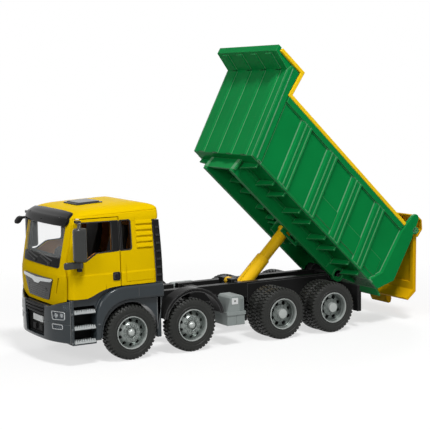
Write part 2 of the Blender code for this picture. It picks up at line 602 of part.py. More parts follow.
def build_fenders():
    for side, word in ((-1, "left"), (1, "right")):
        near, far = side * FENDER_INNER, side * 0.0773
        top = [(x, z - 2 * GAP) for x, z in ARCH]
        outline = [
            (BUMPER_REAR + GAP, BUMPER_BOTTOM - 0.002), (-0.0395, 0.0248), (-0.0320, 0.0335),
            (FENDER_REAR - 0.0090, 0.0335), (FENDER_REAR - 0.0078, 0.0235), (FENDER_REAR - 0.0025, 0.0230),
            (FENDER_REAR - 0.0025, 0.0700), (FENDER_REAR, 0.0730), (FENDER_REAR, 0.0870),
            (FENDER_REAR - 0.0020, CAB_BACK_BOTTOM - 2 * GAP), *reversed(top),
            (BUMPER_REAR + GAP, CAB_SIDE_BOTTOM - 2 * GAP),
        ]
        fender = prism(outline, *sorted((near, far)))
        inside = [(BUMPER_REAR + 0.0030, 0.0290), (-0.0425, 0.0275), (-0.0300, 0.0400),
                  (FENDER_REAR - 0.0050, 0.0400), (FENDER_REAR - 0.0050, 0.0740), (FENDER_REAR - 0.0024,
            0.0745), (FENDER_REAR - 0.0024, 0.0880), *[(x, z - 0.0030) for x, z in reversed(ARCH)],
                  (BUMPER_REAR + 0.0030, CAB_SIDE_BOTTOM - 0.0030)]
        cut(fender, prism([(BUMPER_REAR - 0.002, side * (BUMPER_HALF - 0.0020)), (BUMPER_REAR + 0.0040,
            side * 0.0785), (BUMPER_REAR - 0.002, side * 0.0785)], 0.0, 0.100, "z"))
        cut(fender, prism(inside, *sorted((side * (FENDER_INNER - 0.010), side * 0.0560))))
        cut(fender, rod(ARCH_RADIUS, *sorted((side * 0.030, side * 0.090)), AXLE_X[0], AXLE_Z, 40))
        cut(fender, box((AXLE_X[0] - 0.0325, AXLE_X[0] + 0.0350), (side * 0.030, side * 0.090),
                        (0.0, 0.0345)))
        for low, high in zip(STEP_LEVELS, (*STEP_LEVELS[1:], CAB_SIDE_BOTTOM)):
            cut(fender, box((-0.0745, -0.0472), (side * 0.0590, side * 0.0900), (low, high - 0.0025)))
        finish(fender, f"fender_{word}", SLATE, ROOT)

        cx, cz = AXLE_X[1] + 0.0029, AXLE_Z + 0.0025
        guard = prism(arc(cx, cz, MUDGUARD_RADIUS, 12, 168, 16) + arc(cx, cz,
            MUDGUARD_RADIUS - MUDGUARD_WALL, 168, 12, 16), *sorted((side * 0.0555, side * 0.0770)))
        stay = (cx - 0.005, cx + 0.005)
        join(guard, box(stay, (side * (RAIL_OUTER + GAP), side * 0.0570),
                        (RAIL_TOP - 0.008, RAIL_TOP - 0.004)), box(stay, (side * 0.0535, side * 0.0570),
            (RAIL_TOP - 0.006, cz + MUDGUARD_RADIUS - MUDGUARD_WALL / 2)))
        finish(guard, f"mudguard_{word}", BLACK, ROOT)


def build_boxes():
    body = join(
        prism([(0.1325, 0.0265), (0.1565, 0.0265), (0.1565, 0.0600), (0.1530, 0.0632), (0.1365, 0.0632),
               (0.1325, 0.0590)], -0.0770, -BOX_INNER),
        box((0.1310, 0.1580), (-0.0785, -BOX_INNER - 0.001), (0.0385, 0.0445)),
    )
    finish(body, "battery_box", SILVER, ROOT)
    tank = prism(arc(0.1345, 0.0330, 0.0050, 180, 270, 3) + arc(0.1645, 0.0330, 0.0050, 270, 360, 3)
                 + arc(0.1645, 0.0570, 0.0050, 0, 90, 3) + arc(0.1345, 0.0570, 0.0050, 90, 180, 3),
                 BOX_INNER, 0.0770)
    finish(tank, "side_tank", SILVER, ROOT)


# Tipper

def gusset_places():
    """Where the webs under the floor stand: at the front, and below both edges of each side rib."""
    feet = [u + LEAN * (TUB_TOP - STRIP_HEIGHT) for u in RIB_TOPS[:-1]]
    return [GUSSET_FIRST] + [foot + edge for foot in feet for edge in (-RIB_HALF, RIB_HALF)]


def build_tub():
    top = TUB_TOP - STRIP_HEIGHT - GAP
    rear = list(TUB_REAR)
    eu, ev = EAR_TIP
    ear = [(0.2460, top), (eu - 0.0062, ev - 0.0060), (eu - 0.0035, ev - 0.0010), (eu, ev),
           (eu + 0.0045, ev - 0.0025)]
    outline = [(0.0, 0.0), (-0.0349, 0.1148), (-0.0630, 0.1202), (-0.0649, 0.1288), (-0.0590, 0.1288),
               (-0.0586, 0.1236 - GAP), (-0.0181 - GAP, 0.1240 - GAP), (-0.0123, top), *ear, *rear]
    shell = tub_prism(outline, -TUB_HALF, TUB_HALF)
    inner = TUB_HALF - TUB_WALL
    cavity = [(0.0026, TUB_WALL), (-0.0319, 0.1168), (-0.0606, 0.1224), (-0.0626, 0.1500), (0.3200, 0.1500),
              (0.3200, TUB_WALL)]
    cut(shell, tub_prism(cavity, -inner, inner))
    ribs = []
    for side in (-1, 1):
        y0, y1 = side * (TUB_HALF - 0.0008), side * (TUB_HALF + RIB_PROUD)
        for u in RIB_TOPS:
            foot = u + LEAN * top
            ribs.append(tub_prism([(foot - RIB_HALF, 0.0020), (foot + RIB_HALF, 0.0020),
                                   (u + RIB_HALF, top - 0.0040), (u - RIB_HALF, top - 0.0040)], y0, y1))
        ribs.append(tub_prism([(0.0, 0.0), (0.0180, 0.0), (0.0180 - LEAN * top, top), (-0.0130, top),
                               (-0.0190, 0.1225), (-0.0330, 0.1225), (-0.0349, 0.1148)], y0, y1))
        ribs.append(tub_prism([(0.0100, top - 0.0055), (0.2440, top - 0.0055), (0.2440, top),
                               (-0.0100, top)], y0, y1))
        ribs.append(tub_prism([(0.0100, 0.0), (0.2560, 0.0), (0.2560, 0.0030), (0.0100, 0.0030)], y0, y1))
        ribs.append(tub_prism([*ear[1:], *rear, (0.2540, 0.0), (0.2620, 0.0230), (0.2470, 0.0842)], y0, y1))
        hole = uv(*TAILGATE_PIVOT)
        ribs.append(rod(0.0050, *sorted((side * inner, side * (TUB_HALF + RIB_PROUD))), hole[0], hole[1], 16))
    for place in FRONT_RIBS:
        wide = (place * TUB_HALF - FRONT_RIB_HALF, place * TUB_HALF + FRONT_RIB_HALF)
        ribs.append(tub_prism([(0.0012, 0.0), (-0.0337, 0.1148), (-0.0357, 0.1146), (-0.0022, 0.0)], *wide))
        ribs.append(tub_prism([(-0.0337, 0.1158), (-0.0600, 0.1208), (-0.0604, 0.1186), (-0.0345, 0.1136)],
                              *wide))
    ribs.append(tub_prism([(0.2480, 0.0), (0.2480, TUB_WALL), (0.2687, TUB_WALL), (0.2815, -0.0016),
                           (0.2808, -0.0039), (0.2684, 0.0)], -TUB_HALF + 0.0008, TUB_HALF - 0.0008))
    join(shell, *ribs)
    cut(shell, rod(PIN_RADIUS + GAP, -0.090, 0.090, hole[0], hole[1], 12))
    finish(shell, "tub_shell", GREEN, TUB_AXIS, True)

    for side, word in ((-1, "left"), (1, "right")):
        strip = tub_prism([(-0.0580, 0.1286), (-0.0132, 0.1291), (-0.0074, TUB_TOP), (0.2454, TUB_TOP),
                           (0.2454, TUB_TOP - STRIP_HEIGHT), (-0.0120, TUB_TOP - STRIP_HEIGHT),
                           (-0.0178, 0.1241), (-0.0580, 0.1237)], side * (inner - 0.0010),
                          side * (TUB_HALF + RIB_PROUD + 0.0004))
        finish(strip, f"rim_strip_{word}", YELLOW, TUB_AXIS, True)

    hu, hv = HINGE_UV
    frame = tub_box(PLATE, (-PLATE_HALF, PLATE_HALF), (-PLATE_DEPTH, -GAP))
    more = []
    for side in (-1, 1):
        a, b = side * BEAM_INNER, side * BEAM_OUTER
        more.append(tub_prism([(PLATE[0] - 0.0005, -GAP), (0.2360, -GAP), (0.2380, hv), (0.2280, hv - 0.0070),
                               (0.2150, -BEAM_DEPTH), (PLATE[0] - 0.0005, -BEAM_DEPTH)], a, b))
        ring = uv(hu, hv)
        more.append(rod(0.0085, min(a, b), max(a, b), ring[0], ring[1], 20))
        for u in gusset_places():
            near, far = side * (BEAM_OUTER - 0.001), side * (TUB_HALF - GUSSET_INSET)
            web = [(near, -GAP), (far, -GAP), (far, -GUSSET_TIP), (near, -GUSSET_ROOT)]
            more.append(prism([(y, v - hv) for y, v in web], u - hu - GUSSET_HALF, u - hu + GUSSET_HALF, "x"))
        head = HEAD_UV[0]
        for u in (head - 0.0105, head + 0.0190):
            more.append(tub_box((u - 0.0012, u + 0.0012), (side * 0.0115, side * (BEAM_INNER + 0.001)),
                                (-RAIL_CLEAR, -GAP)))
        more.append(tub_box((head - 0.0120, head + 0.0205), (side * SLOT_INNER, side * SLOT_OUTER),
                            (-BEAM_DEPTH, -GAP)))
    reach = BEAM_INNER + 0.001
    for u in CROSS_PLATES:
        halves = ((-reach, -BARREL_CLEAR), (BARREL_CLEAR, reach)) if u in BARREL_PLATES else ((-reach, reach),)
        for y in halves:
            more.append(tub_box((u - GUSSET_HALF, u + GUSSET_HALF), y, (-0.0083, -GAP)))
    join(frame, *more)
    ring = uv(hu, hv)
    cut(frame, rod(HINGE_RADIUS + GAP, -0.050, 0.050, ring[0], ring[1]))
    for side in (-1, 1):
        cut(frame, tub_box((HEAD_UV[0] - 0.0036, HEAD_UV[0] + 0.0162),
                           (side * (SLOT_INNER - 0.001), side * (SLOT_OUTER + 0.001)),
                           (HEAD_UV[1] - 0.0056, HEAD_UV[1] + 0.0034)))
    finish(frame, "tub_subframe", GREEN, TUB_AXIS, True)


def head_in_tub():
    """The rod head seen in the tub's own frame."""
    away = HEAD - HINGE
    c, s = math.cos(TIP_ANGLE), math.sin(TIP_ANGLE)
    return (HINGE_UV[0] + away.x * c - away.z * s, HINGE_UV[1] + away.x * s + away.z * c)


HEAD_UV = head_in_tub()


def build_tailgate():
    pu, pv = TAILGATE_PIVOT
    axis = empty("tailgate_axis", (pu - HINGE_UV[0], 0.0, pv - HINGE_UV[1]), -TAILGATE_OPEN, TUB_AXIS)
    about = lambda points: [(u - pu, v - pv) for u, v in points]
    (u1, v1), (u2, v2), _ = TUB_REAR
    run = Vector((u2 - u1, v2 - v1)).normalized()
    out = Vector((-run.y, run.x))
    tip = Vector((-0.49, -0.872))
    tip_out = Vector((0.872, -0.49))
    inner_top = Vector((u1, v1)) - run * 0.0140 + out * 0.0008
    inner_bend = Vector((u2, v2)) + run * 0.0062 + out * 0.0008
    inner_tip = inner_bend + tip * 0.0160
    outer_top = inner_top + out * TAILGATE_DEPTH
    outer_tip = inner_tip + tip_out * 0.0038
    outer_bend = inner_bend + out * TAILGATE_DEPTH + run * 0.0030
    gate = prism(about([inner_top, inner_bend, inner_tip, outer_tip, outer_bend, outer_top]),
                 -TAILGATE_HALF, TAILGATE_HALF)
    pocket_top = inner_top + run * 0.0140
    pocket_bend = inner_bend - run * 0.0100
    pocket = [pocket_top - out * 0.004, pocket_bend - out * 0.004,
              pocket_bend + out * (TAILGATE_DEPTH - 0.0026), pocket_top + out * (TAILGATE_DEPTH - 0.0026)]
    cut(gate, prism(about(pocket), -TAILGATE_HALF + 0.0070, TAILGATE_HALF - 0.0070))
    hang = Matrix.Rotation(TAILGATE_OPEN - TIP_ANGLE, 2)
    hood = [(0.0055, -0.0080), (0.0125, -0.0045), (0.0145, 0.0080), (0.0075, 0.0190), (-0.0040, 0.0215),
            (-0.0044, 0.0193), (0.0062, 0.0170), (0.0122, 0.0078), (0.0105, -0.0030), (0.0035, -0.0060)]
    pieces = [prism([tuple(hang @ Vector(p)) for p in hood], -TAILGATE_HALF + 0.0010, TAILGATE_HALF - 0.0010)]
    for side in (-1, 1):
        pieces.append(rod(0.0044, *sorted((side * (TAILGATE_HALF - 0.0063), side * TAILGATE_HALF)), 0.0,
                          0.0, 16))
        reach = TUB_HALF + RIB_PROUD - 0.0002
        pieces.append(rod(PIN_RADIUS, *sorted((side * (TAILGATE_HALF - 0.0050), side * reach)), 0.0, 0.0, 12))
    hook = [(0.2815, 0.0050), (0.2850, 0.0110), (0.2900, 0.0080), (0.2935, 0.0010), (0.2930, -0.0045),
            (0.2895, -0.0060), (0.2850, -0.0010)]
    pieces.append(prism(about(hook), -0.0190, 0.0190))
    join(gate, *pieces)
    finish(gate, "tailgate", YELLOW, axis, True)


def build_cylinder():
    """Both pieces lie along X in the frame of the barrel's pivot, offset below it."""
    axis = empty("barrel_axis", BARREL_PIVOT, -BARREL_ANGLE, ROOT)
    away = HEAD - BARREL_PIVOT
    c, s = math.cos(BARREL_ANGLE), math.sin(BARREL_ANGLE)
    reach = away.x * c + away.z * s
    drop = away.x * s - away.z * c
    turn = Matrix.Translation((0, 0, -drop)) @ Matrix.Rotation(math.radians(-90), 4, "Z")
    bore = ROD_RADIUS + GAP
    foot = -0.0060
    barrel = lathe([(0.0, foot), (BARREL_RADIUS, foot), (BARREL_RADIUS, BARREL_LENGTH - 0.0012),
                    (BARREL_RADIUS - 0.0006, BARREL_LENGTH), (bore, BARREL_LENGTH), (bore, foot + 0.0025),
                    (0.0, foot + 0.0025)], 24, False)
    barrel.data.transform(turn)
    under = -drop + bore + 0.0005
    eye = prism([(-0.0048, -0.0010), (0.0048, -0.0010), (0.0085, under), (-0.0050, under)], -0.0042, 0.0042)
    join(barrel, join(eye, rod(0.0052, -0.0042, 0.0042, 0, 0, 16)))
    cut(barrel, rod(PIN_RADIUS + GAP, -0.010, 0.010, 0, 0, 12))
    finish(barrel, "cylinder_barrel", YELLOW, axis, True)
    end = reach + 0.0030
    ram = lathe([(0.0, ROD_INSIDE), (ROD_RADIUS, ROD_INSIDE), (ROD_RADIUS, reach - 0.0022),
                 (0.0098, reach - 0.0016), (0.0098, reach + 0.0014), (0.0080, end), (0.0, end)], 24, False)
    ram.data.transform(turn)
    pin = rod(0.0025, -SLOT_OUTER, SLOT_OUTER, reach, -drop, 12)
    join(ram, pin)
    finish(ram, "cylinder_rod", YELLOW, axis, True)


build_wheels()
build_chassis()
build_cab()
build_doors()
build_bumper()
build_fenders()
build_boxes()
build_tub()
build_tailgate()
build_cylinder()

# The truck stands on the ground with the middle of its length and width over the origin.
bpy.context.view_layer.update()
solids = [obj for obj in PARTS.objects if obj.type == "MESH"]
spots = [(obj.matrix_world @ v.co).x for obj in solids for v in obj.data.vertices]
ROOT.location.x = -(min(spots) + max(spots)) / 2
bpy.context.view_layer.update()
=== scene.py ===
"""Looks of the toy dump truck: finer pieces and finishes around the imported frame. Metres, +Z up, it faces -X.

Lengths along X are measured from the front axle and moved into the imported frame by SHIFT. The tub's pieces are drawn
level, with u back along its floor and v up from it, and are then tipped about its hinge. Longer lists of points are
given in millimetres, through mm().
"""

import json
import math

import bmesh
import bpy
from mathutils import Matrix, Vector


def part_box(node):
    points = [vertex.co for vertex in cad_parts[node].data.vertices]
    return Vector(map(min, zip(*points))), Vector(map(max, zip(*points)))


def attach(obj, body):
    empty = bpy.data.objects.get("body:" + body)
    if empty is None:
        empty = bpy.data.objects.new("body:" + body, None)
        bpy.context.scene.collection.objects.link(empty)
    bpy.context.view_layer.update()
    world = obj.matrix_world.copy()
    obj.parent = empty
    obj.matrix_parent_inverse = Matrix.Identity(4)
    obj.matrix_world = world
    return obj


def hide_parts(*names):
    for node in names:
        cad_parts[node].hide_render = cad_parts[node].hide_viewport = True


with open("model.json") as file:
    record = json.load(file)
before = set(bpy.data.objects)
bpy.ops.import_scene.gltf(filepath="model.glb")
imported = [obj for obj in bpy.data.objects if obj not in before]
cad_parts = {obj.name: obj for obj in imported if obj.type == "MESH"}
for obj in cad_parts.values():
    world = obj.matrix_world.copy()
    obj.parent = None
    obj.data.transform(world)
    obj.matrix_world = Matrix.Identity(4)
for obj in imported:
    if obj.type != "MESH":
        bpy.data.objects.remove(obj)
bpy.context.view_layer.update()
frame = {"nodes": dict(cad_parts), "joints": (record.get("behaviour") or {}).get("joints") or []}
JOINTS = {joint["name"]: joint for joint in frame["joints"]}
NODES = frame["nodes"]
SIDES = ((-1, "left"), (1, "right"))

AXLE = sum(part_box("axle_1"), Vector()) / 2
SHIFT = Matrix.Translation((AXLE.x, 0.0, 0.0))
AXLE_Z = AXLE.z


def mm(*points):
    """Points given in millimetres, as a list of points in metres."""
    return [tuple(c / 1000 for c in point) for point in points]


def rect(x0, x1, z0, z1):
    return [(x0, z0), (x1, z0), (x1, z1), (x0, z1)]


def rect_mm(x0, x1, z0, z1):
    return mm(*rect(x0, x1, z0, z1))


# Wheels
TYRE_RADIUS = 0.0332
TYRE_HALF = 0.01
DUAL_GAP = 0.0006
LUGS = 42
LUG_SHAPE = ((0.0, 0), (0.06, 1), (0.62, 1), (0.68, 0))
TREAD = 0.0016
RIM_RADIUS = 0.02
RIM_INSIDE = 0.0187
RIM_STEPS = 64
NUTS = 10
FRONT_NUT = (0.0013, 0.0016)
FRONT_NUTS_AT = 0.0091
NUT_POCKET = (0.002, 0.004)
REAR_NUT = (0.0011, 0.0012)
REAR_NUTS_AT = 0.0094
FRONT_HOLES = (10, 0.0148, 0.0022)
REAR_HOLES = (8, 0.0136, 0.0027)
DISH = 0.0088
WHEEL_FACE_Y = 0.078
AXLE_X = (0.0, 0.0826, 0.215, 0.2935)
DUAL_AXLES = (3, 4)

# Cab: for each height, the front at the middle, the rear and the half width
CAB_SECTIONS = mm(
    (50, -84.5, 35.6, 76.8), (68, -85.6, 35.5, 77), (102, -87.6, 35, 77.3), (116, -85.3, 34.5, 77.2),
    (134, -82.6, 33.8, 76.6), (160, -78.5, 32.8, 74.1), (166, -77.6, 32.6, 73.5), (166.8, -77.3, 32.8, 73.5),
    (167.2, -77.2, 40.6, 73.4), (168, -76.9, 40.8, 73.4), (173, -75.4, 41.4, 72.9), (180, -70.3, 41, 70.6),
    (183.6, -61.2, 34.5, 61.8), (185.3, -46.5, 23.5, 47), (185.9, -33, 10, 27),
)
NOSE_PLAN = ((0.0, 0.0), (0.0006, 0.36), (0.0016, 0.57), (0.0035, 0.74), (0.0062, 0.87), (0.009, 0.945))
ROOM_REAR = 0.0326
ROOF_RISE = 0.04
ROOF_LEVEL_X = -0.011
ROOF_START = 0.18
ROOF_LIFT = (0.1838, 0.185)
CAB_WALL = 0.0022
SHADE_PANEL_Y = (0.0694, 0.0702)
CREASE = (0.1066, 0.108)
CREASE_STEP = 0.0006
GROOVE = (0.1768, 0.1776)
GROOVE_DEPTH = 0.0008
GROOVE_EASE = 0.0008
CAB_SIDE_BOTTOM = 0.0798
CAB_FRONT_BOTTOM = 0.07
CAB_BACK_BOTTOM = 0.0914
FRONT_V = (0.0386, 0.0158)
ARCH = mm((-57, 79.8), (-50, 82.5), (-40, 87), (-28, 90.3), (-14, 91.4))
SEAM = 0.0005
FIT = 0.0003
DOOR_FRONT = -0.079
DOOR_REAR = -0.0134
DOOR_TOP = 0.173
DOOR_FOOT = 0.06
DOOR_INNER = 0.066
DOOR_PILLAR = (0.117, -0.0695)
DOOR_WINDOW = mm((-69, 124), (-58, 124), (-44, 133), (-23.5, 134), (-23.5, 168), (-64, 168))
QUARTER_WINDOW = rect_mm(-10, 1.4, 134, 168)
WINDOW_BORDER = 0.0012
DOOR_CORNERS = (0.0016, 0.003)
QUARTER_CORNERS = (0.0012, 0.0024)
QUARTER_CHAMFER = 0.002
SCREEN_BOTTOM = 0.1153
SCREEN_TOP = 0.17
SCREEN_HALF = (0.054, 0.0565)
OPENING_CORNER = 0.004
PANE_CORNER = 0.003
WIPER_CORNER = 0.0024
WIPER_TOP = 0.127
WIPERS = mm((-30, -4, 118.5, 124.5), (12, 40, 118.5, 124.5))
WIPER_PROUD = (0.0016, 0.0013, 0.002)
GLASS = 0.0016
GLASS_SINK = 0.0002
VISOR = (0.1646, 0.1832, 0.062, 0.055)
VISOR_HOLES = mm((-46, 174.5), (-52.5, 170), (46, 174.5), (0, 179), (0, 169))
VISOR_BACK = -0.0645
VISOR_HOLE_BACK = -0.074
VISOR_SKIN = (0.0042, 0.0004)
GRILLE = (0.075, 0.1017, 0.0304, 0.0441)
GRILLE_SKIN = (0.0014, FIT)
GRILLE_LINES = (0.0778, 0.0026, 6)
GRILLE_LINE = (0.029, 0.0008)
GRILLE_LINE_SKIN = (0.004, 0.0009)
WING_SKIN = (0.0028, 0.0012)
AIR_SLOT = mm((47.4, 83.8), (49.2, 83.8), (56.6, 103.6), (53.6, 103.6))
PANEL_LINE = (-0.0065, 0.0305, 0.095, 0.1262)
PANEL_LINE_WIDTH = 0.0007
PANEL_LINE_Y = (0.0771, 0.09)
LOUVRE_X = (0.008, 0.03)
LOUVRE_Z = (0.1368, 0.007, 5)
LOUVRE_SECTION = mm((-1.2, -2.6), (0.6, -2.4), (1.4, -1.6), (1.4, -0.8), (0.4, 2.2), (-1.2, 2.8))
HATCH_X = (-0.0425, -0.0085)
HATCH_HALF = 0.022
BACK_LEAN = 0.0376
MIRROR_HINGE = (-0.067, 0.0797)
MIRROR_FOLD = math.radians(75)

# Cutters that reach past the cab: ahead of its nose, behind its front and out beyond its side
NOSE = -0.12
CAB_FRONT = -0.06
SCREEN_BACK = -0.05
FAR = 0.1
WALL_CUT = 0.05
WINDOW_CUT = (0.04, 0.11)
SHADE_PANEL_CUT = (0.05, 0.09)

# Bumper and fenders
BUMPER_FRONT = -0.0935
BUMPER_REAR = -0.0775
BUMPER_BOTTOM = 0.0277
BUMPER_TOP = 0.086
BUMPER_HALF = 0.0742
BUMPER_WALL = 0.0026
BUMPER_MIDDLE = 0.0308
BUMPER_PLAN = ((0.0, 0.0, 1, 0), (0.0005, 0.022, 1, 0), (0.0021, 0.038, 1, 0), (0.0055, 0.0505, 1, 0),
               (0.01, 0.062, 0.9, 0.4), (0.0135, 0.0695, 0.8, 0.6))
HEADLAMP = mm((47, 54.5), (66.5, 55.5), (66.5, 65), (45.5, 65))
FOG_LAMP = mm((47, 43.2), (63, 44), (63, 49.6), (46, 49.6))
CORNER_LAMP = mm((65.5, 66.5), (72.8, 66.5), (72.8, 73.5), (64, 73.5))
LAMP_BOWLS = mm((52, 59.8, 2.7), (60.6, 60.3, 2.4))
LAMP_Z = (0.03, 0.08)
LAMP_CUT_Z = (0.028, 0.082)
LAMP_POCKET = (0.003, -0.0012)
LENS_SKIN = (0.0006, -0.0003)
BOWL_SKIN = (-0.0006, -0.0014)
FOG_SKIN = (-0.0004, -0.0014)
BEZEL_SKIN = (0.0007, -0.0006)
CORNER_SKIN = (-0.0002, -0.0008)
FENDER_REAR = 0.044
FENDER_FACE = 0.0773
FENDER_ROOT = 0.056
ARCH_RADIUS = 0.0366
FLARE = mm((-40, 33), (-38.2, 48), (-31.8, 60.5), (-21.5, 69), (-8, 73), (10, 73.2), (44, 72.8))
CROWN = mm((-47, 29), (-47, 48), (-46.3, 59), (-44, 68), (-40.2, 75.5), (-34.5, 81.8), (-27, 86.5), (-19, 89.3),
           (-10, 90.6))
FENDER_FOOT = 0.029
FLARE_STEP = 0.0042
BAND_PROUD = 0.0018
STEP_FRONT = BUMPER_REAR + 0.0003
STEP_ROOT = 0.05
STEP_LEVELS = (0.029, 0.0455, 0.064)
STEP_THICK = (0.003, 0.0022, 0.0022)
STEP_TEETH = 9
MUDGUARD_RADIUS = 0.0425

# Tub
TIP = math.radians(43.9)
HINGE_UV = (0.2306, -0.0125)
TUB_PLACE = Matrix.Translation(JOINTS["tub_tip"]["pos_m"]) @ Matrix.Rotation(TIP, 4, "Y")
TUB_HALF = 0.0732
TUB_WALL = 0.0024
TUB_SINK = 0.0008
RIB_PROUD = 0.0023
TUB_TOP = 0.0958
STRIP_HEIGHT = 0.005
TUB_REAR = mm((267.8, 84.2), (282.5, 25.4), (268.7, 0))
LEAN = 0.304
RIB_TOPS = (0.033, 0.088, 0.142, 0.194)
RIB_HALF = 0.011
RIB_FACE = 0.0029
RIB_LINES = ((-0.0024, 0.0002), (0.0056, 0.0094))
LAST_PANEL = 0.24
PANEL_V = (0.033, 0.009)
PANEL_PROUD = 0.001
TOP_RAIL = 0.0075
FRONT_POST = 0.018
FRONT_RIBS = (-0.73, -0.24, 0.24, 0.73)
FRONT_RIB = (0.007, 0.0057, 0.0024)
BEAM = (0.03, 0.0365, 0.02)
PLATE_U = (0.009, 0.0115)
PLATE_HALF = 0.0395
PLATE_DEPTH = 0.0165
HINGE_RADIUS = 0.0025
RAIL_CLEAR = 0.01
SLOT = (0.0108, 0.0136)
GUSSET_FIRST = 0.016
GUSSET_HALF = 0.0011
REAR_WEBS = (0.2106, 0.2326)
CROSS_PLATES = (0.0496, 0.0716, 0.1046, 0.1266, 0.1806)
CROSS_DEPTH = 0.0083
BARREL_PLATES = (0.1046, 0.1266)
BARREL_CLEAR = 0.012
TAILGATE_PIVOT = (0.265, 0.0986)
EAR_TIP = (0.253, 0.116)
TAILGATE_OPEN = math.radians(29.3)
TAILGATE_HALF = 0.0703
TAILGATE_DEPTH = 0.0055
TAILGATE_RIBS = (-0.042, -0.014, 0.014, 0.042)

# Cylinder
BARREL_ANGLE = math.radians(44.5)
BARREL_PIVOT = Vector((0.1806, 0.0, 0.0695))
HEAD = Vector((0.2686, 0.0, 0.1292))
BARREL_RADIUS = 0.0095
ROD_RADIUS = 0.0078
BARREL_LENGTH = 0.057
BARREL_FOOT = -0.006
EYE_HALF = 0.0042
ROD_INSIDE = 0.042
TURNED_STEPS = 56

# Camera and light
CAMERA_PLACE = Vector((-0.825702, -1.39917, 0.32742))
CAMERA_TURN = math.radians(-30.0413)
CAMERA_DROP = math.radians(6.0)
CAMERA_ROLL = math.radians(-0.8779)
CAMERA_LENS = 104.7
SENSOR = 36.0
AIM = (0, 0, 0.15)
LAMPS = (
    ("key", (-0.25, -1.25, 2.2), 0.5, 42.0),
    ("front", (-1.9, -1.0, 1.2), 0.8, 17.0),
    ("side", (-0.2, -2.2, 0.9), 0.8, 3.0),
    ("back", (1.4, 1.5, 1.5), 0.8, 14.0),
)
WORLD_LIGHT = 0.18
FLOOR_SIZE = 6.0
FLOOR_GREY = 0.36
FLOOR_LIFT = 0.64
FLOOR_FADE = (0.34, 0.7)
WHITE = (1.0, 1.0, 1.0, 1.0)

# Widths of rounded edges, from fine trim to thick mouldings
HAIRLINE = 0.0001
FINE = 0.0002
TRIM = 0.0003
THIN = 0.0004
PLAIN = 0.0005
FULL = 0.0006
ROUND = 0.0008
SOFT = 0.0012
SOFTER = 0.0014

# Finishes
# Painted edge highlights: how far in from an outer edge they reach, and the occlusion range that is lightened towards
# white
PAINTED_HIGHLIGHT_REACH = 0.0008
PAINTED_HIGHLIGHT_RANGE = (0.6, 0.92)
DRIFT_SCALE = 22.0
DRIFT_RANGE = (0.3, 0.7)
ROUGH_DRIFT = 0.15
GRAIN_DEPTH = 0.00004


# Materials


def srgb(red, green, blue):
    """A screen colour, 0 to 255, as the linear colour that a shader takes."""
    linear = [((c / 255 + 0.055) / 1.055) ** 2.4 for c in (red, green, blue)]
    return (*linear, 1.0)


def shaded(colour, factor):
    return (*[min(1.0, c * factor) for c in colour[:3]], 1.0)


def node_of(tree, kind, **values):
    """A new shader node with some inputs set. An underscore in an input's name stands for a space."""
    node = tree.nodes.new("ShaderNode" + kind)
    for name, value in values.items():
        node.inputs[name.replace("_", " ")].default_value = value
    return node


def remapped(tree, value, start, stop, low=0.0, high=1.0):
    """A socket's run from start to stop, turned into a run from low to high."""
    node = node_of(tree, "MapRange", From_Min=start, From_Max=stop, To_Min=low, To_Max=high)
    tree.links.new(value, node.inputs["Value"])
    return node.outputs["Result"]


def combined(tree, operation, one, two):
    """A Math node's result for a socket and either another socket or a number."""
    node = node_of(tree, "Math")
    node.operation = operation
    tree.links.new(one, node.inputs[0])
    if isinstance(two, float):
        node.inputs[1].default_value = two
    else:
        tree.links.new(two, node.inputs[1])
    return node.outputs[0]


def painted_edge_highlight(tree, colour, edge):
    """The colour lightened towards white along the outer edges of the shape: a painted highlight on every convex edge.
    """
    inside = node_of(tree, "AmbientOcclusion", Distance=PAINTED_HIGHLIGHT_REACH)
    inside.inside = True
    inside.only_local = True
    inside.samples = 8
    highlighted = node_of(tree, "Mix")
    highlighted.data_type = "RGBA"
    sockets = {socket.identifier: socket for socket in highlighted.inputs}
    sockets["B_Color"].default_value = WHITE
    tree.links.new(remapped(tree, inside.outputs["AO"], *PAINTED_HIGHLIGHT_RANGE, edge, 0.0), sockets["Factor_Float"])
    tree.links.new(colour, sockets["A_Color"])
    return next(socket for socket in highlighted.outputs if socket.identifier == "Result_Color")


def finish_of(name, colour, rough, spread, grain, bump=0.05, metal=0.0, shine=0.1, edge=0.0, alpha=1.0):
    """A moulded or metal finish: its colour and gloss drift a little, a fine grain breaks the surface, and edge sets
    the strength of a painted highlight along the outer edges.
    """
    material = bpy.data.materials.new(name)
    material.use_nodes = True
    tree = material.node_tree
    link = tree.links.new
    shader = tree.nodes["Principled BSDF"]
    shader.inputs["Metallic"].default_value = metal
    shader.inputs["Specular IOR Level"].default_value = shine
    shader.inputs["Alpha"].default_value = alpha
    spot = node_of(tree, "TexCoord").outputs["Object"]
    drift = node_of(tree, "TexNoise", Scale=DRIFT_SCALE, Detail=4.0)
    fine = node_of(tree, "TexNoise", Scale=grain, Detail=2.0)
    relief = node_of(tree, "Bump", Strength=bump, Distance=GRAIN_DEPTH)
    tint = node_of(tree, "ValToRGB")
    for stop, position, sign in zip(tint.color_ramp.elements, DRIFT_RANGE, (-1.0, 1.0)):
        stop.position = position
        stop.color = shaded(srgb(*colour), 1.0 + sign * spread)
    link(spot, drift.inputs["Vector"])
    link(spot, fine.inputs["Vector"])
    link(drift.outputs["Fac"], tint.inputs["Fac"])
    shown = tint.outputs["Color"]
    # edge: strength of the painted highlight along the outer edges
    link(painted_edge_highlight(tree, shown, edge) if edge else shown, shader.inputs["Base Color"])
    gloss = (rough * (1.0 - ROUGH_DRIFT), rough * (1.0 + ROUGH_DRIFT))
    link(remapped(tree, drift.outputs["Fac"], *DRIFT_RANGE, *gloss), shader.inputs["Roughness"])
    link(fine.outputs["Fac"], relief.inputs["Height"])
    link(relief.outputs["Normal"], shader.inputs["Normal"])
    return material
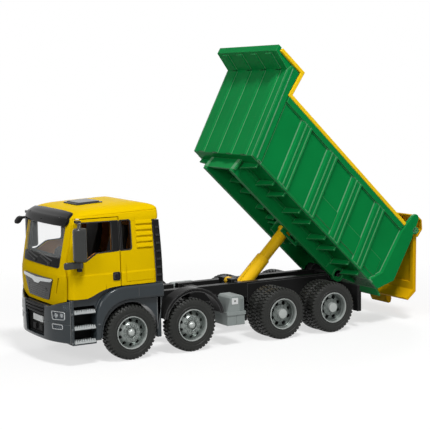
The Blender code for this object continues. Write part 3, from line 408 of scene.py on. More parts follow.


# The edge values below set painted highlights along the outer edges
YELLOW = finish_of("cab_yellow", (226, 188, 2), 0.22, 0.03, 500.0, shine=0.0008)
AMBER = finish_of("tipper_yellow", (222, 170, 8), 0.22, 0.04, 500.0, shine=0.01)
STRIP = finish_of("strip_yellow", (248, 204, 30), 0.22, 0.03, 500.0, shine=0.01)
GREEN = finish_of("tub_green", (13, 129, 63), 0.24, 0.05, 500.0, shine=0.01, edge=0.11)
SLATE = finish_of("slate_plastic", (47, 54, 58), 0.16, 0.06, 600.0, shine=0.28, edge=0.12)
BLACK = finish_of("black_plastic", (36, 36, 36), 0.22, 0.1, 600.0, shine=0.015, edge=0.1)
GLOSS = finish_of("gloss_black_plastic", (24, 24, 24), 0.1, 0.08, 600.0, shine=0.045, edge=0.05)
DARK = finish_of("dark_grey_plastic", (44, 45, 46), 0.2, 0.08, 600.0, shine=0.12, edge=0.06)
MIRROR = finish_of("mirror_plastic", (54, 55, 54), 0.12, 0.06, 600.0, shine=0.3, edge=0.05)
# A lighter yellow for the cylinder: painted light, where it lies in the tub's shadow
LIT_RAM_YELLOW = finish_of("ram_painted_light_yellow", (255, 200, 24), 0.26, 0.03, 500.0)
CABIN = finish_of("cabin_plastic", (36, 34, 32), 0.55, 0.1, 900.0, 0.2)
# A brown painted shade for the inside of the cab, seen through its windows
SHADE_BROWN = finish_of("cabin_painted_shade", (186, 128, 70), 0.6, 0.1, 500.0, 0.2)
RUBBER = finish_of("tyre_rubber", (40, 41, 39), 0.42, 0.12, 500.0, 0.3, shine=0.22)
RIM = finish_of("rim_silver", (134, 140, 137), 0.28, 0.06, 600.0, 0.1, 0.6)
# A darker copy of the rim silver: painted shade in the deep dishes of the rear rims
SHADED_RIM_SILVER = finish_of("shaded_rim_silver", (112, 118, 115), 0.28, 0.06, 600.0, 0.1, 0.6)
# A lighter copy of the rim silver: painted highlight on rim edges and hub caps
HIGHLIGHT_SILVER = finish_of("rim_bright_silver", (176, 181, 178), 0.28, 0.05, 600.0, 0.1, 0.45)
SILVER = finish_of("silver_plastic", (140, 147, 145), 0.36, 0.05, 600.0, 0.1, 0.3)
TREADS = finish_of("step_silver", (186, 190, 190), 0.34, 0.05, 1500.0, 0.1, 0.3)
CHROME = finish_of("bright_trim", (190, 193, 194), 0.22, 0.05, 1500.0, 0.08, 0.75)
STEEL = finish_of("drawn_steel", (180, 180, 182), 0.28, 0.08, 700.0, 0.15, 1.0)
PLATE = finish_of("plate_white", (222, 224, 223), 0.4, 0.03, 900.0, 0.1)
SCREEN = finish_of("screen_clear", (226, 232, 232), 0.05, 0.03, 300.0, 0.01, alpha=0.1)
LENS = finish_of("lamp_clear", (120, 128, 134), 0.06, 0.03, 300.0, 0.01, alpha=0.16)


# Shapes

AXES = {"x": lambda a, b, t: (t, a, b), "y": lambda a, b, t: (a, t, b), "z": lambda a, b, t: (a, b, t)}


def object_of(mesh):
    shape = bpy.data.objects.new("shape", mesh)
    bpy.context.scene.collection.objects.link(shape)
    return shape


def from_bmesh(bm, clean=True):
    if clean:
        bmesh.ops.remove_doubles(bm, verts=bm.verts, dist=1e-6)
        bmesh.ops.recalc_face_normals(bm, faces=bm.faces)
    mesh = bpy.data.meshes.new("shape")
    bm.to_mesh(mesh)
    bm.free()
    return object_of(mesh)


def moved(shape, *matrices):
    for matrix in matrices:
        shape.data.transform(matrix)
    return shape


def prism(outline, low, high, along="y"):
    """A closed outline extruded from low to high: (x, z) along y, (y, z) along x, (x, y) along z."""
    spot = AXES[along]
    low, high = min(low, high), max(low, high)
    bm = bmesh.new()
    face = bm.faces.new([bm.verts.new(spot(a, b, low)) for a, b in outline])
    made = bmesh.ops.extrude_face_region(bm, geom=[face])["geom"]
    far = [v for v in made if isinstance(v, bmesh.types.BMVert)]
    bmesh.ops.translate(bm, verts=far, vec=Vector(spot(0, 0, high - low)))
    return from_bmesh(bm)


def front_prism(outline, back=CAB_FRONT, front=NOSE):
    """An outline of the front view, extruded through the nose of the cab."""
    return prism(outline, front, back, "x")


def side_prism(outline, side, inner, outer=FAR):
    """An outline of the side view, extruded on one side of the truck."""
    return prism(outline, side * inner, side * outer)


def box(x, y, z):
    return prism(rect(*x, *z), *y)


def side_box(side, x, y, z):
    return side_prism(rect(*x, *z), side, *y)


def lathe(profile, steps=RIM_STEPS, closed=False):
    """A profile of (radius, y) points turned about the Y axis."""
    bm = bmesh.new()
    verts = [bm.verts.new((r, t, 0)) for r, t in profile]
    pairs = list(zip(verts, verts[1:])) + ([(verts[-1], verts[0])] if closed else [])
    edges = [bm.edges.new(pair) for pair in pairs]
    bmesh.ops.spin(bm, geom=verts + edges, cent=(0, 0, 0), axis=(0, 1, 0), angle=math.tau, steps=steps,
                   use_merge=True)
    return from_bmesh(bm)


def from_face(face, *points):
    """A profile in millimetres whose second numbers are measured from a face."""
    return [(r, face + t) for r, t in mm(*points)]


def ngon(x, z, radius, count, turn=0.0):
    angles = [turn + math.tau * k / count for k in range(count)]
    return [(x + radius * math.cos(t), z + radius * math.sin(t)) for t in angles]


def rod(radius, y0, y1, x=0.0, z=0.0, steps=32):
    """A round bar along Y."""
    return prism(ngon(x, z, radius, steps), y0, y1)


def arc(cx, cz, radius, start, stop, count):
    angles = [math.radians(start + (stop - start) * k / count) for k in range(count + 1)]
    return [(cx + radius * math.cos(t), cz + radius * math.sin(t)) for t in angles]


def mirrored(half):
    """Half an outline and its mirror image, which starts after the first point."""
    return half + [(x, -y) for x, y in reversed(half[1:])]


def smoothed(points, times=2, closed=True):
    """Corner cutting: each pass replaces every corner by two points on its sides."""
    points = [Vector(p) for p in points]
    for _ in range(times):
        pairs = list(zip(points, points[1:] + points[:1] if closed else points[1:]))
        made = [q for a, b in pairs for q in (a * 0.75 + b * 0.25, a * 0.25 + b * 0.75)]
        points = made if closed else [points[0], *made[1:-1], points[-1]]
    return [tuple(p) for p in points]


def corners(outline):
    """Each point of an outline, between its neighbours."""
    points = [Vector(p) for p in outline]
    return zip(points[-1:] + points[:-1], points, points[1:] + points[:1])


def rounded(outline, radius, steps=4):
    """The outline with each corner turned into a small curve."""
    made = []
    for before, corner, after in corners(outline):
        ends = []
        for other in (before, after):
            way = other - corner
            ends.append(corner + way * min(0.45, radius / way.length))
        for k in range(steps + 1):
            t = k / steps
            made.append(tuple(ends[0] * (1 - t) ** 2 + corner * 2 * t * (1 - t) + ends[1] * t * t))
    return made


def grown(outline, distance):
    """The outline moved outwards by a distance, corner by corner."""
    area = sum(here.x * after.y - after.x * here.y for _, here, after in corners(outline))
    sign = 1.0 if area > 0 else -1.0
    made = []
    for before, here, after in corners(outline):
        one, two = (here - before).normalized(), (after - here).normalized()
        out_one, out_two = Vector((one.y, -one.x)) * sign, Vector((two.y, -two.x)) * sign
        middle = (out_one + out_two).normalized()
        made.append(tuple(here + middle * (distance / max(0.4, middle.dot(out_one)))))
    return made


def loft(rings, looped=False):
    """A closed body through rings of equal length, capped at both ends or joined from last to first."""
    bm = bmesh.new()
    rows = [[bm.verts.new(p) for p in ring] for ring in rings]
    for low, high in zip(rows, rows[1:] + rows[:1] if looped else rows[1:]):
        for k in range(len(low)):
            n = (k + 1) % len(low)
            bm.faces.new((low[k], low[n], high[n], high[k]))
    if not looped:
        bm.faces.new(rows[0])
        bm.faces.new(rows[-1])
    return from_bmesh(bm)


def pillow(outline, low, high, radius, corner, along="z", ends=(True, True)):
    """An outline extruded from low to high, with its corners and its ends rounded."""
    spot = AXES[along]
    turns = [math.radians(90 * k / 4) for k in range(5)]
    curve = [(radius * (1 - math.cos(t)), radius * (1 - math.sin(t))) for t in turns]
    levels = [(low + deep, inset) for deep, inset in curve] if ends[0] else [(low, 0.0)]
    levels += [(high - deep, inset) for deep, inset in reversed(curve)] if ends[1] else [(high, 0.0)]
    rings = []
    for level, inset in levels:
        ring = rounded(grown(outline, -inset), max(0.0002, corner - inset))
        rings.append([spot(a, b, level) for a, b in ring])
    return loft(rings)


def tube(points, radius, steps=14):
    """A round bar along a smoothed path of points."""
    path = [Vector(p) for p in smoothed(points, 3, closed=False)]
    rings = []
    for k, here in enumerate(path):
        way = (path[min(k + 1, len(path) - 1)] - path[max(k - 1, 0)]).normalized()
        side = way.cross(Vector((0.31, 0.17, 0.93))).normalized()
        up = side.cross(way)
        turns = [math.tau * n / steps for n in range(steps)]
        rings.append([tuple(here + (side * math.cos(t) + up * math.sin(t)) * radius) for t in turns])
    return loft(rings)


def applied(shape):
    """Replaces a shape's mesh by what its modifiers make of it."""
    bpy.context.view_layer.update()
    graph = bpy.context.evaluated_depsgraph_get()
    made = bpy.data.meshes.new_from_object(shape.evaluated_get(graph))
    shape.modifiers.clear()
    old = shape.data
    shape.data = made
    bpy.data.meshes.remove(old)
    return shape


def boolean(operation, shape, others):
    for other in others:
        mod = shape.modifiers.new(operation, "BOOLEAN")
        mod.operation = operation
        mod.solver = "EXACT"
        mod.object = other
        applied(shape)
        bpy.data.objects.remove(other, do_unlink=True)
    return shape


def join(shape, *others):
    return boolean("UNION", shape, others)


def cut(shape, *others):
    return boolean("DIFFERENCE", shape, others)


def common(shape, *others):
    return boolean("INTERSECT", shape, others)


def gather(shapes):
    """Several bodies as one piece, each still closed by itself."""
    bm = bmesh.new()
    for shape in shapes:
        bm.from_mesh(shape.data)
        bpy.data.objects.remove(shape, do_unlink=True)
    return from_bmesh(bm, clean=False)


def copied(shape, matrix):
    return moved(object_of(shape.data.copy()), matrix)


def edge_bevel(shape, width, segments=2, angle=40):
    mod = shape.modifiers.new("edge", "BEVEL")
    mod.width = width
    mod.segments = segments
    mod.limit_method = "ANGLE"
    mod.angle_limit = math.radians(angle)
    return mod


def soften(shape, width=THIN, segments=2, clamp=True, angle=40):
    """Rounds the sharp edges of a shape."""
    edge_bevel(shape, width, segments, angle).use_clamp_overlap = clamp
    return applied(shape)


def crisp(shape, width=TRIM, segments=2, angle=40):
    """Rounds the sharp edges of a cut shape, where short edges would stop a clamped bevel."""
    return soften(shape, width, segments, False, angle)


def place(shape, name, material, nodes=(), body="chassis", matrix=SHIFT, sharp=38):
    """Names a finished shape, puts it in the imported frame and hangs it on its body."""
    shape.name = name
    shape.data.name = name
    shape.data.transform(matrix)
    shape.data.materials.clear()
    shape.data.materials.append(material)
    shape.data.shade_smooth()
    shape.data.set_sharp_from_angle(angle=math.radians(sharp))
    shape.modifiers.new("normals", "WEIGHTED_NORMAL").keep_sharp = True
    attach(shape, body)
    if nodes:
        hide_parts(*nodes)


def dress(node, material, width=THIN):
    """Finishes a CAD node that is shown as it is: welded, with its edges rounded by a modifier."""
    shape = NODES[node]
    shape.data.materials.clear()
    shape.data.materials.append(material)
    shape.modifiers.new("weld", "WELD").merge_threshold = 0.00001
    edge_bevel(shape, width)


# Wheels

def tyre_body():
    """One tyre about the Y axis. Rows: y, depth of a lug and of a groove under the tread, turn in lug pitches."""
    deep = TREAD * 1000
    bore = (TYRE_RADIUS - RIM_RADIUS) * 1000 - 0.2
    half_rows = [
        (0.35, deep, deep, 0.2), (0.5, 0, deep, 0.2), (4, 0.05, deep, 0.2), (4.15, deep, deep, 0.35),
        (5, deep, deep, 0.6), (5.15, 0.1, deep, 0.7), (8, 0.4, deep + 0.3, 0.7), (9.1, 1.8, 3.4, 0.7),
        (9.6, 3.8, 4.2, 0.7), (9.55, 4.4, 4.4, 0.7), (9.9, 5.8, 5.8, 0.7), (10, 7.5, 7.5, 0.7),
        (9.7, 7.8, 7.8, 0.7), (9.6, 10, 10, 0.7), (9.9, 10.3, 10.3, 0.7), (9.6, 11.2, 11.2, 0.7),
        (9, bore, bore, 0.7),
    ]
    scale = (TYRE_HALF - DUAL_GAP / 2) / TYRE_HALF
    rings = []
    for y, lug, groove, turn in [(-row[0], *row[1:]) for row in reversed(half_rows)] + half_rows:
        ring = []
        for pitch in range(LUGS):
            for part, raised_part in LUG_SHAPE:
                angle = math.tau * (pitch + part + turn) / LUGS
                radius = TYRE_RADIUS - (lug if raised_part else groove) / 1000
                ring.append((radius * math.cos(angle), y / 1000 * scale, radius * math.sin(angle)))
        rings.append(ring)
    return loft(rings, looped=True)


def nut_ring(radius, y, size, height):
    profile = [(0.0, height), (size * 0.55, height), (size * 0.62, height * 0.55), (size, height * 0.5),
               (size, -0.0006), (0.0, -0.0006)]
    places = ngon(0.0, 0.0, radius, NUTS, math.pi / NUTS)
    return [moved(lathe(profile, 8), Matrix.Translation((x, y, z))) for x, z in places]


def pierced(rim, count, circle, radius, low, high):
    """Cuts a ring of round holes through a rim."""
    for k in range(count):
        turn = Matrix.Rotation(math.tau * (k + 0.5) / count, 4, "Y")
        cut(rim, moved(rod(radius, low, high, circle, 0.0, 20), turn))
    return soften(rim, FINE, angle=50)


def front_rim():
    """A rim whose disc bulges out to a ring of nuts in pockets and a domed hub."""
    half = TYRE_HALF
    rim = lathe(
        from_face(half, (0, -0.3), (1.4, -0.4), (2.8, -1), (4, -2.2), (4.7, -4), (4.9, -5.4), (6.2, -5.4), (6.4, -3.4),
                  (6.9, -2.9), (11.2, -3.1), (12, -3.8), (16.4, -6.8), (17.4, -7.2), (17.8, -6.4), (18.2, -4),
                  (18.6, -3.6), (18.8, -1.2), (19.1, -0.4), (19.6, -0.3))
        + [(RIM_RADIUS, half - 0.0009), (RIM_RADIUS, 0.0006 - half), (RIM_INSIDE, 0.0006 - half)]
        + from_face(half, (18.3, -9.8), (2.6, -9.8), (2.6, -7.2), (0, -7.2)))
    pocket, deep = NUT_POCKET
    pierced(rim, NUTS, FRONT_NUTS_AT, pocket, half - deep, half)
    pierced(rim, *FRONT_HOLES, -half, half)
    return gather([rim] + nut_ring(FRONT_NUTS_AT, half - 0.0036, *FRONT_NUT))


def rear_rim():
    """A deep rim with a stepped barrel and a long round hub."""
    half = TYRE_HALF
    dish, back = half - DISH, -half - 0.0174
    rim = lathe(
        from_face(half, (0, -1.4), (5, -1.4), (5.8, -1.7), (6.2, -2.4))
        + from_face(dish, (6.4, 2.2), (7.4, 1.6), (11.2, 1.2), (12, 0), (16, -0.4), (16.6, 0.6))
        + from_face(half, (17, -5.8), (17.5, -5.4), (17.8, -3.4), (18.3, -3), (18.7, -1.2), (19, -0.4), (19.6, -0.3))
        + [(RIM_RADIUS, half - 0.0009), (RIM_RADIUS, back), (RIM_INSIDE, back)]
        + from_face(dish, (18.3, -3), (2.6, -3)) + from_face(half, (2.6, -7.4), (0, -7.4)))
    pierced(rim, *REAR_HOLES, dish - 0.01, half)
    return gather([rim] + nut_ring(REAR_NUTS_AT, dish + 0.0012, *REAR_NUT))


def rim_painted_shade(dual):
    """A black disc behind the holes of a rim: painted shade in the holes."""
    back = TYRE_HALF - (0.0119 if dual else 0.0099)
    return lathe(from_face(back, (2.7, -1), (18, -1), (18, -0.2), (2.7, -0.2)), 40, True)


def rim_painted_highlight(dual):
    """The rolled edge of a rim and the cap of its hub, in a lighter copy of the rim silver: a painted highlight."""
    edge = ((18.4, -1.6), (18.9, -0.2), (19.6, -0.1), (20, -0.7), (20, -2.4), (18.4, -2.4))
    if dual:
        cap = ((0, -1.2), (5.1, -1.2), (6, -1.6), (6.4, -2.4), (6.6, -6), (0, -6))
    else:
        cap = ((0, -0.1), (1.4, -0.2), (3, -0.8), (4.2, -2), (4.9, -3.8), (5.1, -5.2), (0, -5.2))
    return gather([lathe(from_face(TYRE_HALF, *edge), closed=True), lathe(from_face(TYRE_HALF, *cap))])


def build_wheels():
    tyre = tyre_body()
    rims = {True: rear_rim(), False: front_rim()}
    outer = WHEEL_FACE_Y - TYRE_HALF
    for number, x in enumerate(AXLE_X, 1):
        dual = number in DUAL_AXLES
        body = f"wheels_{number}"
        for side, word in SIDES:
            turn = Matrix.Translation((x, 0.0, AXLE_Z)) @ Matrix.Diagonal((1, side, 1, 1))
            face = turn @ Matrix.Translation((0, outer, 0))
            places = (outer, outer - 2 * TYRE_HALF) if dual else (outer,)
            tread = gather([copied(tyre, turn @ Matrix.Translation((0, y, 0))) for y in places])
            rim = copied(rims[dual], face)
            shade, highlight = moved(rim_painted_shade(dual), face), moved(rim_painted_highlight(dual), face)
            if side < 0:
                for shape in (tread, rim, shade, highlight):
                    shape.data.flip_normals()
            end = f"{number}_{word}"
            place(tread, f"tread_tyre_{end}", RUBBER, [f"tyre_{end}"], body, sharp=30)
            # The dual wheels' rims take the darker silver of painted shade
            place(rim, f"wheel_rim_{end}", SHADED_RIM_SILVER if dual else RIM, [f"rim_{end}"], body)
            # The black disc of painted shade behind the rim's holes
            place(shade, f"rim_painted_shade_{end}", BLACK, body=body)
            # Rim edge and hub cap with the painted highlight
            place(highlight, f"rim_bright_{end}", HIGHLIGHT_SILVER, body=body)
        dress(f"axle_{number}", STEEL, FINE)
    for shape in (tyre, *rims.values()):
        bpy.data.objects.remove(shape, do_unlink=True)


# Cab

def ramp(value, low, high):
    t = min(1.0, max(0.0, (value - low) / (high - low)))
    return t * t * (3 - 2 * t)


def cab_levels():
    levels = [Vector(s) for s in smoothed(CAB_SECTIONS, 2, closed=False)]
    wanted = [z for low, high in (CREASE, GROOVE)
              for z in (low - GROOVE_EASE, low, (low + high) / 2, high, high + GROOVE_EASE)]
    for z in wanted:
        after = next(k for k, level in enumerate(levels) if level[0] > z)
        low, high = levels[after - 1], levels[after]
        levels.insert(after, low.lerp(high, (z - low[0]) / (high[0] - low[0])))
    return [tuple(level) for level in levels]


CAB_LEVELS = cab_levels()


def cab_rings(grow):
    """The cab's skin, moved outwards by a distance, as one ring of points for each level."""
    bed = sum(GROOVE) / 2
    rings = []
    for z, front, rear, half in CAB_LEVELS:
        step = CREASE_STEP * (1 - ramp(z, *CREASE))
        step -= GROOVE_DEPTH * (ramp(z, GROOVE[0], bed) - ramp(z, bed, GROOVE[1]))
        f, r, h = front - grow, (rear if grow >= 0 else min(rear, ROOM_REAR)) + grow, half + grow + step
        side = [(f + x, share * h) for x, share in NOSE_PLAN]
        side += [(f + 0.0128, h - 0.001), (f + 0.0175, h), (r - 0.006, h), (r - 0.0014, h - 0.0014), (r, h - 0.006)]
        rise = ROOF_RISE * ramp(z, DOOR_TOP, ROOF_START)
        lift = grow * ramp(z, *ROOF_LIFT)
        rings.append([(x, y, z + lift + rise * (x - ROOF_LEVEL_X)) for x, y in smoothed(mirrored(side), 2)])
    return rings


def cab_skin(outer, inner):
    """A hollow shell between two skins, closed along its foot."""
    return loft(list(reversed(cab_rings(inner))) + cab_rings(outer))


def skin_part(outline, outer, inner, back=CAB_FRONT):
    """A slice of the cab's front skin between two depths, cut to an outline of the front view."""
    return common(cab_skin(outer, inner), front_prism(outline, back))


def half_width(z):
    for low, high in zip(CAB_LEVELS, CAB_LEVELS[1:]):
        if low[0] <= z <= high[0]:
            return low[3] + (high[3] - low[3]) * (z - low[0]) / (high[0] - low[0])
    return CAB_LEVELS[-1][3]


def above_front(low, back):
    """What lies above the V along the lower edge of the cab's front."""
    half, rise = FRONT_V
    line = [(-FAR, low + rise), (-half, low), (half, low), (FAR, low + rise)]
    return front_prism(line + [(FAR, 0.12), (-FAR, 0.12)], back)


def below_cab():
    """What lies under the cab's lower edge: the wheel arch at the sides and a V at the front."""
    sides = prism([(NOSE, 0.03), (0.06, 0.03), (0.06, CAB_BACK_BOTTOM), *reversed(ARCH), (NOSE, CAB_SIDE_BOTTOM)],
                  -FAR, FAR)
    return cut(sides, above_front(CAB_FRONT_BOTTOM, DOOR_FRONT - SEAM))


def door_outline(grow):
    return [
        (DOOR_FRONT - grow, DOOR_FOOT), (DOOR_REAR + grow, DOOR_FOOT), (DOOR_REAR + grow, DOOR_TOP + grow),
        (DOOR_PILLAR[1] - grow, DOOR_TOP + grow), (DOOR_FRONT - grow, DOOR_PILLAR[0]),
    ]


def screen_outline(grow, bottom, top):
    slope = (SCREEN_HALF[1] - SCREEN_HALF[0]) / (SCREEN_TOP - SCREEN_BOTTOM)
    low = SCREEN_HALF[0] + slope * (bottom - SCREEN_BOTTOM) + grow
    high = SCREEN_HALF[0] + slope * (top - SCREEN_BOTTOM) + grow
    return [(-low, bottom), (low, bottom), (high, top), (-high, top)]


def front_side(side, outline):
    """An outline of the front view, drawn for the right, on either side."""
    return [(side * y, z) for y, z in outline]


def door_trim_outline():
    """The black border of the door's window, which widens into the middle pillar."""
    border = grown(DOOR_WINDOW, WINDOW_BORDER)
    rear = DOOR_REAR - SEAM
    return [*border[:3], (rear, border[3][1]), (rear, border[4][1]), border[5]]


def quarter_trim_outline():
    x0, x1 = DOOR_REAR + SEAM, QUARTER_WINDOW[1][0] + WINDOW_BORDER
    z0, z1 = QUARTER_WINDOW[0][1] - WINDOW_BORDER, QUARTER_WINDOW[2][1] + WINDOW_BORDER
    corner = QUARTER_CHAMFER
    return [(x0, z0), (x1 - corner, z0), (x1, z0 + corner), (x1, z1 - corner), (x1 - corner, z1), (x0, z1)]


def window_frame(side, border, window, radii):
    """The black frame between a window and the border around it."""
    ring = side_prism(rounded(border, radii[0]), side, WALL_CUT)
    cut(ring, side_prism(rounded(window, radii[1]), side, *WINDOW_CUT))
    return crisp(common(cab_skin(FIT, -CAB_WALL), ring))


def side_ribs(side):
    """The louvres pressed into the cab's side behind the door."""
    ribs = []
    first, pitch, count = LOUVRE_Z
    front = LOUVRE_X[0]
    for z in [first + pitch * k for k in range(count)]:
        y = half_width(z)
        rib = prism([(side * (y + a), z + b) for a, b in LOUVRE_SECTION], *LOUVRE_X, "x")
        ribs.append(cut(rib, prism([(front - 0.001, side * (y + 0.003)), (front + 0.0036, side * (y + 0.003)),
                                    (front - 0.001, side * (y - 0.001))], 0.12, 0.19, "z")))
    return ribs


def panel_groove(side):
    """A thin rectangular line on the cab's side below the louvres."""
    x0, x1, z0, z1 = PANEL_LINE
    wide = PANEL_LINE_WIDTH
    strips = (((x0, x1), (z0, z0 + wide)), ((x0, x1), (z1, z1 + wide)), ((x0, x0 + wide), (z0, z1 + wide)),
              ((x1, x1 + wide), (z0, z1 + wide)))
    return [side_box(side, x, PANEL_LINE_Y, z) for x, z in strips]


def build_cab():
    shell = cab_skin(0.0, -CAB_WALL)
    for side, _ in SIDES:
        join(shell, *side_ribs(side))
    cut(shell, below_cab())
    for side, _ in SIDES:
        cut(shell, side_prism(door_outline(SEAM), side, DOOR_INNER - SEAM),
            side_prism(rounded(quarter_trim_outline(), QUARTER_CORNERS[0]), side, WALL_CUT),
            front_prism(rounded(front_side(side, AIR_SLOT), 0.0008)), *panel_groove(side))
    opening = screen_outline(SEAM, SCREEN_BOTTOM - SEAM, SCREEN_TOP + SEAM)
    cut(shell, front_prism(rounded(opening, OPENING_CORNER), SCREEN_BACK))
    place(crisp(shell), "cab_body", YELLOW, ["cab_shell"])

    pane = rounded(screen_outline(0.0, WIPER_TOP + SEAM, SCREEN_TOP), PANE_CORNER)
    place(skin_part(pane, -GLASS_SINK, -GLASS, SCREEN_BACK), "screen_glass", SCREEN, ["windscreen"])
    panel = rounded(screen_outline(0.0, SCREEN_BOTTOM, WIPER_TOP), WIPER_CORNER)
    base = crisp(skin_part(panel, FIT, -GLASS, SCREEN_BACK))
    place(gather([base, *wiper_arms()]), "wiper_base", BLACK, ["wiper_panel"])
    build_visor()
    build_grille()
    for side, word in SIDES:
        trim = window_frame(side, quarter_trim_outline(), QUARTER_WINDOW, QUARTER_CORNERS)
        place(trim, f"quarter_frame_{word}", BLACK)
    build_roof_hatch()
    build_cab_back()
    build_painted_shade()
    for node in ("cab_interior", "seat_left", "seat_right"):
        dress(node, CABIN, SOFT)


def build_visor():
    low, high, wide, narrow = VISOR
    half = [(wide, low), (wide + 0.0005, low + 0.007), (narrow + 0.001, high + 0.0006)]
    brow = [(-wide, low), *half, (0.0, high + 0.003), *[(-y, z) for y, z in reversed(half[1:])]]
    visor = skin_part(rounded(brow, 0.006, 6), *VISOR_SKIN, VISOR_BACK)
    cut(visor, *[front_prism(ngon(y, z, 0.0007, 12), VISOR_HOLE_BACK) for y, z in VISOR_HOLES])
    place(crisp(visor, 0.0007, 3), "brow_visor", GLOSS, ["sun_visor"])


def build_grille():
    low, high, narrow, wide = GRILLE
    outline = [(-narrow, low), (narrow, low), (wide, high), (-wide, high)]
    panel = skin_part(rounded(outline, 0.003), *GRILLE_SKIN)
    first, pitch, count = GRILLE_LINES
    half_line, thick = GRILLE_LINE
    lines = [front_prism(rect(-half_line, half_line, z, z + thick)) for z in [first + pitch * k for k in range(count)]]
    cut(panel, common(cab_skin(*GRILLE_LINE_SKIN), gather(lines)))
    place(crisp(panel), "grille_face", DARK, ["grille_panel"])
    half = [(0.006, high - 0.0092), (0.013, high - 0.0062), (wide - 0.0024, high - 0.004),
            (wide - 0.001, high - 0.0004), (0.01, high - 0.0014)]
    other = [(-y, z) for y, z in reversed(half)]
    wing = [*other[1:], *half, (0.0, high - 0.002), other[0]]
    trim = skin_part(rounded(wing, 0.0012), *WING_SKIN)
    place(crisp(trim, THIN), "grille_wing", CHROME, ["grille_trim"])


def build_painted_shade():
    """Painted shade inside the cab: flat brown panels behind its skin, where its inner faces lie in shade. The doors
    carry their own.
    """
    panels = [box((0.0284, 0.0292), (-0.066, 0.066), (0.0965, 0.17)),
              box((-0.05, 0.029), (-0.06, 0.06), (0.1772, 0.178))]
    for side, _ in SIDES:
        quarter = side_box(side, (-0.012, 0.028), SHADE_PANEL_Y, (0.0965, 0.17))
        panels.append(cut(quarter, side_prism(grown(QUARTER_WINDOW, 0.002), side, *SHADE_PANEL_CUT)))
    place(gather(panels), "cab_painted_shade", SHADE_BROWN)


def wiper_arms():
    """Two arms with blades that lie on the wiper panel, drawn in the front view."""
    arms = []
    for y0, y1, z0, z1 in WIPERS:
        arm = [(y0, z0), (y0 + 0.0006, z0 + 0.0012), (y1, z1 + 0.0012), (y1, z1)]
        blade = [(y0 - 0.006, z0 + 0.0032), (y1 - 0.002, z1 + 0.0022), (y1 - 0.002, z1 + 0.003),
                 (y0 - 0.006, z0 + 0.0042)]
        pivot = ngon(y0, z0, 0.0016, 14)
        for outline, proud in zip((arm, blade, pivot), WIPER_PROUD):
            arms.append(skin_part(outline, proud, -GLASS_SINK))
    return [crisp(arm, FINE) for arm in arms]


def build_roof_hatch():
    x = sum(HATCH_X) / 2
    middle = Matrix.Translation((x, 0, 0))
    height = CAB_SECTIONS[-1][0] + ROOF_RISE * (x - ROOF_LEVEL_X) + 0.0002
    tilt = Matrix.Translation((0, 0, height)) @ Matrix.Rotation(-math.atan(ROOF_RISE), 4, "Y")
    edge = rect(*HATCH_X, -HATCH_HALF, HATCH_HALF)
    base = prism(rounded(edge, 0.003), -0.0014, 0.001, "z")
    join(base, prism(rounded(grown(edge, -0.003), 0.003), 0.0004, 0.0022, "z"))
    moved(soften(base, PLAIN), tilt @ middle.inverted(), middle)
    place(base, "hatch_lid", DARK, ["roof_hatch"])


def build_cab_back():
    wide = [(0.0755, CAB_BACK_BOTTOM), *mm((75.8, 116), (75, 134), (72.2, 166.4))]
    face = lambda z: 0.0422 - BACK_LEAN * (z - CAB_BACK_BOTTOM)
    back = prism(wide + [(-y, z) for y, z in reversed(wide)], 0.0322, 0.045, "x")
    cut(back, prism(mm((43.8, 85), (40.6, 170), (60, 170), (60, 85)), -FAR, FAR), loft(cab_rings(FIT)))
    for z in [0.1 + 0.011 * k for k in range(6)]:
        high = z + 0.006
        cut(back, prism([(face(z), z), (0.06, z), (0.06, high), (face(high), high)], -0.065, 0.065))
    bars = [side_box(side, (0.0352, face(z) + 0.001), (0.07, half_width(z) - 0.0004), (z, z + 0.0026))
            for side, _ in SIDES for z in [0.0985 + 0.0096 * k for k in range(7)]]
    place(soften(back, FULL), "cab_back_panel", BLACK, ["cab_rear_panel"])
    # The bars take the lighter dark grey, not the panel's black: a painted highlight along the ribs
    place(gather([soften(bar, PLAIN) for bar in bars]), "cab_back_bars", DARK)


def build_wheel_inside():
    bodies = [lathe(ngon(0.0118, 0.0, 0.0014, 12), 40, True),
              lathe(mm((0, -2), (3, -2), (3.8, -0.8), (3.8, 1.4), (0, 1.4)), 24), rod(0.0016, 0.0, 0.016, 0, 0, 16)]
    for turn in (30, 150, 270):
        spoke = box((0.002, 0.0118), (-0.0008, 0.001), (-0.0013, 0.0013))
        bodies.append(soften(moved(spoke, Matrix.Rotation(math.radians(turn), 4, "Y")), TRIM))
    lean = Matrix.Rotation(math.radians(90), 4, "Z") @ Matrix.Rotation(math.radians(-35), 4, "X")
    wheel = moved(gather(bodies), Matrix.Translation((-0.045, -0.0365, 0.1275)) @ lean)
    place(wheel, "wheel_ring", BLACK, ["steering_wheel"])


def build_front_mirror():
    outline = mm((-90.5, 158), (-86, 159), (-81.5, 165), (-82.5, 168), (-87, 167), (-91, 162))
    head = soften(prism(rounded(outline, 0.002), 0.055, 0.064), SOFTER, 3)
    arm = box((-0.085, -0.074), (0.0567, 0.0598), (0.1642, 0.1673))
    cut(arm, loft(cab_rings(0.0045)))
    place(gather([head, soften(arm, ROUND, 3)]), "ramp_mirror", BLACK, ["front_mirror"])


# Doors and mirrors

